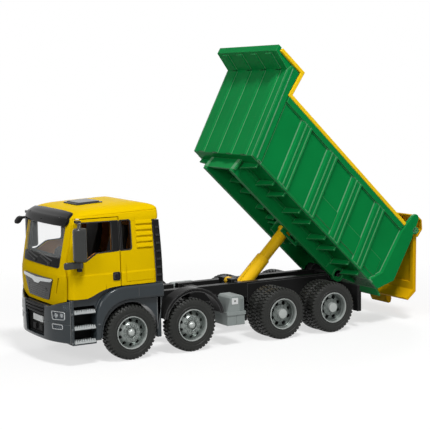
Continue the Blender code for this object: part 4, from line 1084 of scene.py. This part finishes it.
def build_doors():
    hx, hw = MIRROR_HINGE
    for side, word in SIDES:
        body = f"{word}_door"
        door = common(cab_skin(0.0, -CAB_WALL), side_prism(door_outline(-SEAM), side, DOOR_INNER))
        cut(door, below_cab(), side_prism(rounded(door_trim_outline(), DOOR_CORNERS[0]), side, WALL_CUT))
        place(crisp(door), f"door_panel_{word}", YELLOW, [f"door_{word}"], body)
        lug = rounded(rect(hx - 0.0026, hx + 0.0026, side * 0.075, side * (hw + 0.002)), 0.0016)
        top_lug = [(a, b if abs(b) > 0.076 else side * 0.0715) for a, b in lug]
        lugs = [prism(lug, 0.113, 0.1167, "z"), prism(top_lug, 0.169, 0.1722, "z")]
        lugs = gather([soften(shape, PLAIN) for shape in lugs])
        place(lugs, f"mirror_lugs_{word}", DARK, body=body)
        trim = window_frame(side, door_trim_outline(), DOOR_WINDOW, DOOR_CORNERS)
        place(trim, f"window_frame_{word}", BLACK, body=body)
        # The door's own brown panel of painted shade behind its window
        shade_panel = side_prism(mm((-70, 98), (-16, 98), (-16, 170), (-64, 170)), side, *SHADE_PANEL_Y)
        cut(shade_panel, side_prism(grown(DOOR_WINDOW, 0.001), side, *SHADE_PANEL_CUT))
        place(shade_panel, f"door_painted_shade_{word}", SHADE_BROWN, body=body)
        handle = side_prism(rounded(rect_mm(-24, -14.5, 98.5, 108.5), 0.0022), side, 0.0774, 0.0788)
        pull = side_prism(rounded(rect_mm(-22.6, -18, 100.2, 106.8), 0.0012), side, 0.0782, 0.0799)
        handle = gather([soften(handle, THIN), soften(pull, PLAIN)])
        place(handle, f"door_pull_{word}", BLACK, [f"door_handle_{word}"], body)
        build_mirror(side, word)


def build_mirror(side, word):
    hx, hw = MIRROR_HINGE
    plan = lambda *points: [(x, side * w) for x, w in mm(*points)]
    stem = prism(ngon(hx, side * hw, 0.0017, 20), 0.117, 0.1687, "z")
    housing = pillow(plan((-74.5, 81.2), (-78.2, 85.7), (-77.5, 92.5), (-72.4, 94.5), (-63.2, 94.2), (-60.4, 87.2),
                          (-60.8, 81.4)), 0.1254, 0.1648, 0.0034, 0.0034)
    cut(housing, prism(plan((-66.2, 93.6), (-65.6, 96), (-65, 93.6)), 0.12, 0.17, "z"))
    path = mm((0, 80, 164), (0, 80.6, 167.5), (-1.5, 84, 169), (-3, 89, 168), (-4, 90.5, 161))
    arm = tube([(hx + x, side * w, z) for x, w, z in path], 0.0021)
    foot = pillow(plan((-69, 79.3), (-65, 79.3), (-64.5, 85), (-69, 86)), 0.1172, 0.1258, 0.0012, 0.0014)
    bodies = [stem, crisp(housing), arm, foot]
    if side < 0:
        pod = plan((-69, 81.5), (-65.5, 81.5), (-67, 86.2), (-86, 87.2), (-89.5, 85), (-87, 81.5))
        bodies.append(pillow(pod, 0.1174, 0.1256, 0.0018, 0.002))
    mirror = gather(bodies)
    if side > 0:
        hinge = Matrix.Translation((hx, side * hw, 0.0))
        moved(mirror, hinge @ Matrix.Rotation(-MIRROR_FOLD, 4, "Z") @ hinge.inverted())
    place(mirror, f"mirror_housing_{word}", MIRROR, [f"mirror_{word}"], f"{word}_mirror")


# Bumper, steps and fenders

def bumper_outline(grow):
    side = [(BUMPER_FRONT + x - grow * ahead, y + grow * out) for x, y, ahead, out in BUMPER_PLAN]
    return mirrored(smoothed(side + [(BUMPER_REAR, BUMPER_HALF + grow)], 2, closed=False))


def bumper_body(grow, levels):
    return loft([[(x, y, z) for x, y in bumper_outline(grow + step)] for z, step in levels])


def bumper_slab(grow, low, high):
    return bumper_body(grow, [(low, 0.0), (high, 0.0)])


def lamp_part(outline, outer, inner):
    """A slice of the bumper's skin between two depths, cut to an outline of the front view."""
    part = common(bumper_slab(outer, *LAMP_Z), front_prism(outline, SCREEN_BACK))
    return cut(part, bumper_slab(inner, *LAMP_CUT_Z))


def lamp_outlines(side):
    return [rounded(front_side(side, HEADLAMP), 0.002), rounded(front_side(side, FOG_LAMP), 0.0016)]


def build_bumper():
    levels = [(BUMPER_BOTTOM, -0.0014), (BUMPER_BOTTOM + 0.0006, -0.0005), (BUMPER_BOTTOM + 0.0016, 0.0),
              *mm((49, 0.4), (49.9, 0.4), (50.3, -0.4), (51, -0.4), (51.4, 0.3), (69, 0.3), (70, -0.4)),
              (BUMPER_TOP, -0.0008)]
    bumper = bumper_body(0.0, levels)
    cut(bumper, bumper_slab(-BUMPER_WALL, BUMPER_BOTTOM + BUMPER_WALL, BUMPER_TOP + 0.001))
    shelf = prism(bumper_outline(-0.001), 0.063, 0.0655, "z")
    join(bumper, common(shelf, box((-0.1, BUMPER_REAR - 0.0002), (-0.07, 0.07), (0.06, 0.07))))
    mouth = rounded(mm((-27, 31.5), (27, 31.5), (31.2, 72), (-31.2, 72)), 0.002)
    cut(bumper, above_front(CAB_FRONT_BOTTOM - 0.0007, SCREEN_BACK), front_prism(mouth))
    for side, _ in SIDES:
        cut(bumper, *[lamp_part(outline, *LAMP_POCKET) for outline in lamp_outlines(side)])
    place(crisp(bumper, THIN), "bumper_skin", SLATE, ["front_bumper"])
    dress("number_plate", PLATE)
    middle = lambda rear: box((-0.1, rear), (-BUMPER_MIDDLE, BUMPER_MIDDLE), (0.05, 0.08))
    slats = []
    for z, proud in ((0.0575, -0.0006), (0.0615, 0.0002), (0.0652, -0.0002)):
        bar = prism(bumper_outline(proud), z, z + 0.0022, "z")
        slats.append(crisp(common(bar, middle(-0.088)), THIN))
    slats.append(common(prism(bumper_outline(-0.003), 0.056, 0.069, "z"), middle(-0.0868)))
    for y in (-0.0105, 0.0105):
        slats.append(soften(box((-0.0892, -0.0866), (y - 0.004, y + 0.004), (0.0345, 0.0425)), ROUND))
    place(gather(slats), "bumper_slats", BLACK)
    for side, word in SIDES:
        build_lamps(side, word)


def build_lamps(side, word):
    outlines = lamp_outlines(side)
    corner = rounded(front_side(side, CORNER_LAMP), 0.0012)
    lens = [lamp_part(outline, *LENS_SKIN) for outline in [grown(line, -0.0003) for line in outlines] + [corner]]
    place(gather(lens), f"lamp_glass_{word}", LENS, [f"headlamp_{word}"])
    bowls = [lamp_part(ngon(side * y, z, radius, 24), *BOWL_SKIN) for y, z, radius in LAMP_BOWLS]
    bowls.append(lamp_part(grown(outlines[1], -0.0012), *FOG_SKIN))
    for outline in outlines:
        rim = lamp_part(outline, *BEZEL_SKIN)
        bowls.append(cut(rim, front_prism(grown(outline, -0.0006), -0.04, -0.13)))
    bowls.append(lamp_part(grown(corner, -0.0014), *CORNER_SKIN))
    place(gather(bowls), f"lamp_bowls_{word}", CHROME)


def fender_bodies(side):
    """The moulded parts of one fender: band, flange, rear leg, step shelves, front post and hem."""
    flat = FENDER_FACE - FLARE_STEP
    flare = smoothed(FLARE, 2, closed=False)

    def slab(outline, inner, outer, radius, corner):
        return pillow(outline, *sorted((side * inner, side * outer)), radius, corner, "y", (side < 0, side > 0))

    band = [(-0.04, FENDER_FOOT), *flare, (FENDER_REAR, 0.087), (FENDER_REAR - 0.002, CAB_BACK_BOTTOM - 0.0006),
            *reversed(smoothed(CROWN, 2, closed=False))]
    flange = [(x, z + 0.001) for x, z in reversed(flare)] + [(-0.0405, AXLE_Z - 0.0026)]
    flange += reversed(arc(0.0, AXLE_Z, ARCH_RADIUS, 0, 184, 48))
    leg = rect(FENDER_REAR - 0.008, FENDER_REAR - 0.0024, 0.0232, 0.0735)
    bodies = [slab(band, FENDER_ROOT, FENDER_FACE + BAND_PROUD, 0.0034, 0.0006),
              soften(side_prism(flange, side, FENDER_ROOT, flat), FULL),
              slab(leg, FENDER_ROOT, flat, 0.0008, 0.0008)]
    for z, thick in zip(STEP_LEVELS, STEP_THICK):
        shelf = rect(STEP_FRONT, -0.0465, z - thick, z)
        bodies.append(slab(shelf, STEP_ROOT, FENDER_FACE, 0.0008, 0.0007))
    post = rect(STEP_FRONT, -0.0744, 0.0262, CAB_SIDE_BOTTOM - 0.0008)
    bodies.append(slab(post, STEP_ROOT, 0.0764, 0.0006, 0.0006))
    hem = [(STEP_FRONT, 0.079), *mm((-57, 79), (-50, 81.7), (-40, 86.2), (-28, 89.5), (-14, 90.6), (-14, 86),
                                     (-30, 78), (-43, 64), (-47, 70.6)), (STEP_FRONT, 0.0706)]
    return bodies + [soften(side_prism(hem, side, STEP_ROOT, FENDER_FACE - 0.005), FULL)]


def build_fenders():
    skin = FENDER_FACE + BAND_PROUD
    for side, word in SIDES:
        place(gather(fender_bodies(side)), f"fender_skin_{word}", SLATE, [f"fender_{word}"])
        # A thin dark seam across the band, and a black sheet of painted shade at the back of the steps' recess
        shade_and_seam = [side_box(side, (0.009, 0.0094), (skin - 0.0006, skin + 0.0001), (0.077, 0.0875)),
                 side_box(side, (-0.0775, -0.038), (0.053, 0.0592), (0.0262, 0.0782))]
        place(gather([soften(back, HAIRLINE) for back in shade_and_seam]), f"step_shade_and_seam_{word}", BLACK)
        place(gather([step_tread(side, z) for z in STEP_LEVELS]), f"step_treads_{word}", TREADS)
        bolt = lathe(mm((0, 1.3), (1.4, 1.3), (2, 0.8), (2.2, -0.4), (0, -0.4)), 20)
        moved(bolt, Matrix.Translation((-0.0435, side * skin, 0.048)) @ Matrix.Diagonal((1, side, 1, 1)))
        if side < 0:
            bolt.data.flip_normals()
        place(bolt, f"fender_bolt_{word}", SLATE)
        build_mudguard(side, word)


def step_tread(side, z):
    """A serrated plate on a step: its edge is flush with the fender and carries the highest teeth."""
    x0, x1 = -0.0743, -0.0474
    edge = FENDER_FACE + 0.0003
    foot = z + 0.0006
    bodies = [side_box(side, (x0, x1), (0.0602, edge), (z - 0.0012, z + 0.0008))]
    pitch = (x1 - x0) / STEP_TEETH
    for a in [x0 + pitch * k for k in range(STEP_TEETH)]:
        for y0, y1, tall in ((edge - 0.002, edge, 0.003), (0.07, 0.0716, 0.0024), (0.0645, 0.066, 0.002)):
            tooth = [(a + 0.0001, foot), (a + pitch - 0.0003, foot), (a + pitch * 0.6, z + tall),
                     (a + pitch * 0.34, z + tall)]
            bodies.append(side_prism(tooth, side, y0, y1))
    return gather([soften(body, FINE) for body in bodies])


def build_mudguard(side, word):
    cx, cz = AXLE_X[1] + 0.0029, AXLE_Z + 0.0025

    def hoop(outer, inner, end, y0, y1):
        return side_prism(arc(cx, cz, MUDGUARD_RADIUS + outer, end, 180 - end, 48)
                          + arc(cx, cz, MUDGUARD_RADIUS + inner, 180 - end, end, 48), side, y0, y1)

    guard = hoop(0.0, -0.0018, 12, 0.0555, 0.077)
    lip = cut(hoop(0.0006, -0.0042, 12, 0.0752, 0.0773), hoop(-0.0006, -0.0032, 8, 0.0764, 0.079))
    stay = (cx - 0.005, cx + 0.005)
    join(guard, lip, side_box(side, stay, (0.0253, 0.057), (0.062, 0.066)),
         side_box(side, stay, (0.0535, 0.057), (0.064, cz + MUDGUARD_RADIUS - 0.0009)))
    place(crisp(guard, THIN), f"mudguard_skin_{word}", BLACK, [f"mudguard_{word}"])


def build_boxes():
    """The battery box on the left, with a plain label, and the tank on the right."""
    lower = prism(rounded(rect_mm(131.8, 157.2, 26.5, 40), 0.0008), -0.0772, -0.046)
    belt = prism(rounded(rect_mm(130.8, 158.2, 39.2, 44), 0.001), -0.0785, -0.047)
    lid = mm((131.8, 43), (156.6, 43), (156.6, 60.6), (154.2, 63.2), (139.4, 63.2), (137.2, 60.6))
    upper = prism(rounded(lid, 0.0008), -0.0768, -0.046)
    cut(lower, box((0.1448, 0.1454), (-0.09, -0.0766), (0.025, 0.04)))
    strap = prism(mm((131.2, 44), (132.6, 44), (137.8, 61.4), (136.4, 61.4)), -0.0778, -0.07)
    bodies = [lower, belt, upper, strap, box((0.1316, 0.1574), (-0.078, -0.047), (0.0412, 0.0418))]
    for x in [0.1502 + 0.0015 * k for k in range(4)]:
        bodies.append(box((x, x + 0.0008), (-0.0775, -0.076), (0.0446, 0.0596)))
    label = prism(rounded(rect_mm(138.6, 147.6, 53, 60.8), 0.0008), -0.0776, -0.076)
    cut(label, box((0.142, 0.1444), (-0.08, -0.077), (0.0556, 0.058)))
    place(gather([soften(body, PLAIN) for body in bodies]), "battery_case", SILVER, ["battery_box"])
    place(soften(label, FINE), "battery_badge", PLATE)
    mark = box((0.1421, 0.1443), (-0.0772, -0.0765), (0.0557, 0.0579))
    place(soften(mark, HAIRLINE), "battery_mark", BLACK)
    dress("side_tank", SILVER, SOFT)


# Tipper

def uv(u, v):
    """A point of the tub's side view, in the frame of its hinge."""
    return (u - HINGE_UV[0], v - HINGE_UV[1])


def tub_prism(outline, y0, y1):
    return prism([uv(*p) for p in outline], y0, y1)


def tub_box(u, y, v):
    return tub_prism(rect(*u, *v), *y)


def leaning(u, low, high, left, right):
    """A strip on the tub's side that leans as its ribs do, beside the line that meets the rim at u."""
    top = TUB_TOP - STRIP_HEIGHT
    a, b = u + LEAN * (top - low), u + LEAN * (top - high)
    return [(a + left, low), (a + right, low), (b + right, high), (b + left, high)]


def tub_loft(outlines):
    """A body through outlines of the tub's side view, each given with its place across the tub."""
    return loft([[(x, y, z) for x, z in (uv(*p) for p in outline)] for y, outline in outlines])


def raised(side, outline, face_outline, proud=RIB_FACE):
    """A panel on the tub's side whose edges slope up to a smaller face."""
    return tub_loft([(side * (TUB_HALF - TUB_SINK), outline), (side * TUB_HALF, outline),
                     (side * (TUB_HALF + proud), face_outline)])


def ridge(start, end, out, y):
    """A rib of the tub's front with sloping flanks, from start to end in the side view."""
    low, high, proud = FRONT_RIB
    out = Vector(out).normalized()
    section = [(-0.001, -low), (0.0, -low), (proud, -high), (proud, high), (0.0, low), (-0.001, low)]
    rings = []
    for point in (start, end):
        spots = [(uv(*(Vector(point) + out * deep)), y + wide) for deep, wide in section]
        rings.append([(x, across, z) for (x, z), across in spots])
    return loft(rings)


def side_relief(side, top, ear):
    """The ribs, rails, posts and panels of one side of the tub."""
    y0, y1 = side * (TUB_HALF - TUB_SINK), side * (TUB_HALF + RIB_PROUD)
    low, high = 0.002, top - TOP_RAIL + 0.001
    strips = [(-RIB_HALF, RIB_HALF - 0.001, 0.004, 0.0006, 0.0024)]
    strips += [(left, right, 0.0012, 0.0002, 0.0036) for left, right in RIB_LINES]
    ribs = []
    for u in RIB_TOPS:
        for left, right, near, far, proud in strips:
            ribs.append(raised(side, leaning(u, low, high, left, right),
                               leaning(u, low + 0.0004, high - 0.0004, left + near, right - far), proud))
    foot, inset = FRONT_POST, FRONT_POST - 0.0026
    ribs.append(raised(
        side,
        [(0.0, 0.0), (foot, 0.0), (foot - LEAN * top, top), (-0.013, top),
         *mm((-19, 122.5), (-33, 122.5), (-34.9, 114.8))],
        [(0.0004, 0.0004), (inset, 0.0004), (inset - LEAN * top, top), (-0.013, top),
         *mm((-19, 122.2), (-32.6, 122.2), (-34.5, 114.8))], RIB_PROUD))
    run = LEAN * 0.12
    ribs.append(tub_prism([(0.0062, 0.0024), (0.0074, 0.0024), (0.0074 - run, 0.12), (0.0062 - run, 0.12)], y0,
                          side * (TUB_HALF + RIB_PROUD + 0.0005)))
    under = top - TOP_RAIL
    rail = [[(-0.008, v), (0.244, v), (0.244, top), (-0.01, top)] for v in (under, under + 0.0003)]
    ribs.append(raised(side, *rail, RIB_PROUD + 0.0006))
    ribs.append(tub_box((0.01, 0.256), (y0, y1), (0.0, 0.0026)))
    rear = [*ear[1:], *TUB_REAR]
    ribs.append(raised(side, rear + mm((248, 0), (257, 20), (244, 84.2)),
                       rear + mm((250, 0.4), (260.2, 21.5), (247.2, 83.8))))
    for left, right in zip(RIB_TOPS[1:], RIB_TOPS[2:] + (LAST_PANEL,)):
        shifts = [(LEAN * (top - v), v) for v in PANEL_V]
        starts = [(left + shift + RIB_HALF - 0.0008, v) for shift, v in shifts]
        stops = [(right + shift - RIB_HALF + 0.0008, v) for shift, v in shifts]
        ribs.append(tub_prism([starts[1], stops[1], stops[0], starts[0]], y0, side * (TUB_HALF + PANEL_PROUD)))
    return ribs


def build_tub():
    top = TUB_TOP - STRIP_HEIGHT - FIT
    inner, face = TUB_HALF - TUB_WALL, TUB_HALF + RIB_FACE
    eu, ev = EAR_TIP
    ear = [(0.246, top), (eu - 0.0062, ev - 0.006), (eu - 0.0035, ev - 0.001), (eu, ev), (eu + 0.0045, ev - 0.0025)]
    outline = mm((0, 0), (-34.9, 114.8), (-63, 120.2), (-64.9, 128.8), (-59, 128.8), (-58.6, 123.3), (-18.4, 123.7))
    shell = tub_prism([*outline, (-0.0123, top), *ear, *TUB_REAR], -TUB_HALF, TUB_HALF)
    cavity = [(0.0026, TUB_WALL), *mm((-31.9, 116.8), (-60.6, 122.4), (-62.6, 150), (320, 150)), (0.32, TUB_WALL)]
    cut(shell, tub_prism(cavity, -inner, inner))
    hole = uv(*TAILGATE_PIVOT)
    bodies = [shell]
    for side, _ in SIDES:
        bodies += side_relief(side, top, ear)
        bodies.append(rod(0.005, side * inner, side * face, *hole, 24))
    for part in FRONT_RIBS:
        y = part * TUB_HALF
        bodies.append(ridge((-0.0001, 0.0004), (-0.0344, 0.113), (-0.1148, -0.0349), y))
        bodies.append(ridge((-0.0365, 0.1151), (-0.0606, 0.1197), (-0.0054, -0.0281), y))
    lip = [(0.248, 0.0), (0.248, TUB_WALL), (0.2687, TUB_WALL), *mm((281.5, -1.6), (280.8, -3.9), (268.4, 0))]
    bodies.append(tub_prism(lip, -TUB_HALF + TUB_SINK, TUB_HALF - TUB_SINK))
    bodies = [soften(body, 0.00045, angle=15) for body in bodies]
    for side, _ in SIDES:
        washer = rod(0.003, side * (face - 0.0005), side * (face + 0.0007), *hole, 24)
        bodies.append(cut(washer, rod(0.0016, -FAR, FAR, *hole, 16)))
    place(gather(bodies), "tub_body", GREEN, ["tub_shell"], "tub", TUB_PLACE, 14)
    low = TUB_TOP - STRIP_HEIGHT
    edge = [*mm((-58, 128.6), (-13.2, 129.1)), (-0.0074, TUB_TOP), (0.2454, TUB_TOP), (0.2454, low), (-0.012, low),
            *mm((-17.8, 124.1), (-58, 123.7))]
    for side, word in SIDES:
        strip = tub_prism(edge, side * (inner - 0.001), side * (TUB_HALF + RIB_PROUD + 0.0004))
        place(soften(strip, 0.0009, 3), f"rim_edge_{word}", STRIP, [f"rim_strip_{word}"], "tub", TUB_PLACE)
    build_subframe()


def build_subframe():
    """The beams, webs and eyes under the tub's floor."""
    inner, outer, depth = BEAM
    hu, hv = HINGE_UV
    eye = uv(hu, hv)
    away = SHIFT @ HEAD - Vector(JOINTS["tub_tip"]["pos_m"])
    c, s = math.cos(TIP), math.sin(TIP)
    head = (hu + away.x * c - away.z * s, hv + away.x * s + away.z * c)
    gap, reach = FIT, inner + 0.001
    bodies = [tub_box(PLATE_U, (-PLATE_HALF, PLATE_HALF), (-PLATE_DEPTH, -gap))]
    feet = [u + LEAN * (TUB_TOP - STRIP_HEIGHT) for u in RIB_TOPS[:-1]]
    webs = [GUSSET_FIRST, *[foot + edge for foot in feet for edge in (-RIB_HALF, RIB_HALF)], *REAR_WEBS]
    front, base = PLATE_U[0] - 0.0005, -depth + 0.003
    profile = [(front, -gap), (0.236, -gap), (0.238, hv), (0.228, hv - 0.007), (0.215, -depth), (front, -depth)]
    recess = rounded([(0.016, -0.0045), (0.208, -0.0045), (0.208, base), (0.022, base)], 0.002)
    arm = [(hu + 0.006, hv + 0.005), (hu + 0.009, hv + 0.001), (hu + 0.03, -0.003), (hu + 0.03, -gap),
           (hu + 0.004, -gap)]
    for side, _ in SIDES:
        a, b = side * inner, side * outer
        beam = join(tub_prism(profile, a, b), rod(0.0085, a, b, *eye, 40))
        cut(beam, rod(HINGE_RADIUS + gap, -0.05, 0.05, *eye, 24),
            tub_prism(recess, b - side * 0.0008, b + side * 0.01))
        collar = rod(0.0092, b - side * 0.0004, b + side * 0.0012, *eye, 40)
        bodies += [beam, cut(collar, rod(0.0064, b - side * 0.01, b + side * 0.01, *eye, 40)),
                   tub_prism(arm, a + side * 0.0015, b - side * 0.0015)]
        near, far = side * (outer - 0.001), side * (TUB_HALF - 0.0017)
        web = [(y, v - hv) for y, v in ((near, -gap), (far, -gap), (far, -0.006), (near, -0.0095))]
        for u in webs:
            bodies.append(prism(web, u - hu - GUSSET_HALF, u - hu + GUSSET_HALF, "x"))
        for u in (head[0] - 0.0105, head[0] + 0.019):
            bodies.append(tub_box((u - 0.0012, u + 0.0012), (side * 0.0115, side * reach), (-RAIL_CLEAR, -gap)))
        cheek = tub_box((head[0] - 0.012, head[0] + 0.0205), (side * SLOT[0], side * SLOT[1]), (-depth, -gap))
        bodies.append(cut(cheek, tub_box((head[0] - 0.0036, head[0] + 0.0162),
                                         (side * (SLOT[0] - 0.001), side * (SLOT[1] + 0.001)),
                                         (head[1] - 0.0056, head[1] + 0.0034))))
    for u in CROSS_PLATES:
        halves = ((-reach, -BARREL_CLEAR), (BARREL_CLEAR, reach)) if u in BARREL_PLATES else ((-reach, reach),)
        for y in halves:
            bodies.append(tub_box((u - GUSSET_HALF, u + GUSSET_HALF), y, (-CROSS_DEPTH, -gap)))
    place(gather([crisp(body, THIN) for body in bodies]), "tub_beams", GREEN, ["tub_subframe"], "tub", TUB_PLACE)


def build_tailgate():
    pu, pv = TAILGATE_PIVOT
    half = TAILGATE_HALF
    about = lambda points: [(p[0] - pu, p[1] - pv) for p in points]
    top, bend = Vector(TUB_REAR[0]), Vector(TUB_REAR[1])
    run = (bend - top).normalized()
    out = Vector((-run.y, run.x))
    tip, tip_out = Vector((-0.49, -0.872)), Vector((0.872, -0.49))
    inner_top = top - run * 0.014 + out * 0.0008
    inner_bend = bend + run * 0.0062 + out * 0.0008
    inner_tip = inner_bend + tip * 0.016
    outer_top = inner_top + out * TAILGATE_DEPTH
    outer_tip = inner_tip + tip_out * 0.0038
    outer_bend = inner_bend + out * TAILGATE_DEPTH + run * 0.003
    gate = prism(about([inner_top, inner_bend, inner_tip, outer_tip, outer_bend, outer_top]), -half, half)
    pocket_top, pocket_bend = inner_top + run * 0.014, inner_bend - run * 0.01
    floor = TAILGATE_DEPTH - 0.0026
    pocket = [pocket_top - out * 0.004, pocket_bend - out * 0.004, pocket_bend + out * floor,
              pocket_top + out * floor]
    cut(gate, prism(about(pocket), -half + 0.007, half - 0.007))
    hang = Matrix.Rotation(TAILGATE_OPEN - TIP, 2)
    hood = mm((5.5, -8), (12.5, -4.5), (14.5, 8), (7.5, 19), (-4, 21.5), (-4.4, 19.3), (6.2, 17), (12.2, 7.8),
              (10.5, -3), (3.5, -6))
    pieces = [prism([tuple(hang @ Vector(p)) for p in hood], -half + 0.001, half - 0.001)]
    for side, _ in SIDES:
        pieces.append(rod(0.0044, side * (half - 0.0063), side * half, steps=28))
        pieces.append(rod(0.002, side * (half - 0.005), side * (TUB_HALF + RIB_PROUD - 0.0002), steps=20))
    rib = [outer_top + run * 0.018 - out * 0.0006, outer_bend - run * 0.006 - out * 0.0006,
           outer_bend - run * 0.009 + out * 0.0014, outer_top + run * 0.021 + out * 0.0014]
    for y in TAILGATE_RIBS:
        pieces.append(prism(about(rib), y - 0.0035, y + 0.0035))
    hook = mm((281.5, 5), (285, 11), (290, 8), (293.5, 1), (293, -4.5), (289.5, -6), (285, -1))
    pieces.append(prism(about(hook), -0.019, 0.019))
    crisp(join(gate, *pieces), PLAIN)
    swing = Matrix.Translation((pu - HINGE_UV[0], 0.0, pv - HINGE_UV[1])) @ Matrix.Rotation(-TAILGATE_OPEN, 4, "Y")
    place(gate, "tailgate_panel", AMBER, ["tailgate"], "tailgate_body", TUB_PLACE @ swing)


def neck(radius, start, deep):
    """A shallow groove round a turned part."""
    bed = radius - deep
    return [(radius, start), (bed, start + 0.0003), (bed, start + 0.0009), (radius, start + 0.0012)]


def build_cylinder():
    away = HEAD - BARREL_PIVOT
    c, s = math.cos(BARREL_ANGLE), math.sin(BARREL_ANGLE)
    reach = away.x * c + away.z * s
    drop = away.x * s - away.z * c
    turn = Matrix.Translation((0, 0, -drop)) @ Matrix.Rotation(math.radians(-90), 4, "Z")
    spot = SHIFT @ Matrix.Translation(BARREL_PIVOT) @ Matrix.Rotation(-BARREL_ANGLE, 4, "Y")
    r, length, foot = BARREL_RADIUS, BARREL_LENGTH, BARREL_FOOT
    bore, wall = ROD_RADIUS + 0.0003, 0.0025
    barrel = lathe([(0.0, foot), (r - 0.0008, foot), (r, foot + 0.0008), *neck(r, length - 0.0075, 0.0003),
                    (r, length - 0.001), (r - 0.0008, length), (bore, length), (bore, foot + wall),
                    (0.0, foot + wall)], TURNED_STEPS)
    under = -drop + bore + 0.0005
    eye = prism([(-0.0048, -0.001), (0.0048, -0.001), (0.0085, under), (-0.005, under)], -EYE_HALF, EYE_HALF)
    join(moved(barrel, turn), join(eye, rod(0.0052, -EYE_HALF, EYE_HALF, steps=28)))
    cut(barrel, rod(0.0023, -0.01, 0.01, steps=20))
    place(crisp(barrel, angle=50), "ram_barrel", LIT_RAM_YELLOW, ["cylinder_barrel"], "barrel", spot)
    r = ROD_RADIUS
    ram = lathe([(0.0, ROD_INSIDE), (r, ROD_INSIDE), *neck(r, reach - 0.014, 0.0004), (r, reach - 0.0024),
                 *from_face(reach, (9.6, -1.8), (9.8, -1.2), (9.8, 1), (8, 3), (0, 3))], TURNED_STEPS)
    join(moved(ram, turn), rod(0.0025, -SLOT[1], SLOT[1], reach, -drop, 24))
    place(ram, "ram_rod", LIT_RAM_YELLOW, ["cylinder_rod"], "ram", spot)


def build_chassis():
    dress("chassis_frame", BLACK)
    dress("rear_guard", BLACK, FULL)
    tank = pillow(rect_mm(47, 56, -32, -15), 0.069, 0.0905, 0.0016, 0.0014)
    cap = pillow(rect_mm(48, 55, -30, -23), 0.09, 0.093, 0.0008, 0.0012)
    place(gather([tank, cap]), "rear_reservoir", BLACK)
    dress("tub_hinge_shaft", BLACK, TRIM)
    dress("cylinder_pin", STEEL, TRIM)


# Stage

def build_camera():
    level = math.cos(CAMERA_DROP)
    back = Vector((math.sin(CAMERA_TURN) * level, -math.cos(CAMERA_TURN) * level, math.sin(CAMERA_DROP)))
    right = Vector((0, 0, 1)).cross(back).normalized()
    up = back.cross(right)
    c, s = math.cos(CAMERA_ROLL), math.sin(CAMERA_ROLL)
    right, up = right * c + up * s, up * c - right * s
    data = bpy.data.cameras.new("photo_view")
    data.lens = CAMERA_LENS
    data.sensor_width = SENSOR
    camera = bpy.data.objects.new("photo_view", data)
    camera.matrix_world = Matrix.Translation(CAMERA_PLACE) @ Matrix((right, up, back)).transposed().to_4x4()
    bpy.context.scene.collection.objects.link(camera)
    bpy.context.scene.camera = camera


def seen_rays(tree):
    """One where a ray comes from the camera, from a reflection or through glass, otherwise zero."""
    path = node_of(tree, "LightPath")
    total = path.outputs["Is Camera Ray"]
    for name in ("Is Glossy Ray", "Is Transmission Ray"):
        total = combined(tree, "MAXIMUM", total, path.outputs[name])
    return total


def blended(tree, share, one, two):
    mix = node_of(tree, "MixShader")
    for socket, source in zip(mix.inputs, (share, one, two)):
        tree.links.new(source, socket)
    return mix.outputs[0]


def build_world():
    world = bpy.data.worlds.new("studio")
    bpy.context.scene.world = world
    world.use_nodes = True
    tree = world.node_tree
    light = tree.nodes["Background"]
    light.inputs["Color"].default_value = WHITE
    light.inputs["Strength"].default_value = WORLD_LIGHT
    white = node_of(tree, "Background", Color=WHITE, Strength=1.0)
    mix = blended(tree, seen_rays(tree), light.outputs[0], white.outputs[0])
    tree.links.new(mix, tree.nodes["World Output"].inputs["Surface"])


def build_floor():
    """A pale floor that keeps the truck's shadow and turns into plain white away from it."""
    bm = bmesh.new()
    bmesh.ops.create_grid(bm, x_segments=24, y_segments=24, size=FLOOR_SIZE)
    floor = moved(from_bmesh(bm), Matrix.Translation((0, 0, -0.0002)))
    floor.name = "studio_floor"
    material = bpy.data.materials.new("studio_floor")
    material.use_nodes = True
    tree = material.node_tree
    link = tree.links.new
    shader = tree.nodes["Principled BSDF"]
    shader.inputs["Base Color"].default_value = (FLOOR_GREY, FLOOR_GREY, FLOOR_GREY, 1)
    shader.inputs["Roughness"].default_value = 0.9
    shader.inputs["Specular IOR Level"].default_value = 0.0
    glow, lift = node_of(tree, "Emission"), node_of(tree, "Emission")
    seen = seen_rays(tree)
    link(combined(tree, "MULTIPLY", seen, FLOOR_LIFT), lift.inputs["Strength"])
    lit = node_of(tree, "AddShader")
    link(shader.outputs[0], lit.inputs[0])
    link(lift.outputs[0], lit.inputs[1])
    length = node_of(tree, "VectorMath")
    length.operation = "LENGTH"
    link(node_of(tree, "TexCoord").outputs["Object"], length.inputs[0])
    away = combined(tree, "MULTIPLY", remapped(tree, length.outputs["Value"], *FLOOR_FADE), seen)
    mix = blended(tree, away, lit.outputs[0], glow.outputs[0])
    link(mix, tree.nodes["Material Output"].inputs["Surface"])
    floor.data.materials.append(material)


def build_stage():
    build_camera()
    build_world()
    build_floor()
    for name, spot, size, power in LAMPS:
        data = bpy.data.lights.new(name, "AREA")
        data.shape = "DISK"
        data.size = size
        data.energy = power
        lamp = bpy.data.objects.new(name, data)
        lamp.location = spot
        lamp.rotation_euler = (Vector(AIM) - Vector(spot)).to_track_quat("-Z", "Y").to_euler()
        bpy.context.scene.collection.objects.link(lamp)
    bpy.context.scene.view_settings.view_transform = "Standard"


build_wheels()
build_chassis()
build_cab()
build_wheel_inside()
build_front_mirror()
build_doors()
build_bumper()
build_fenders()
build_boxes()
build_tub()
build_tailgate()
build_cylinder()
build_stage()
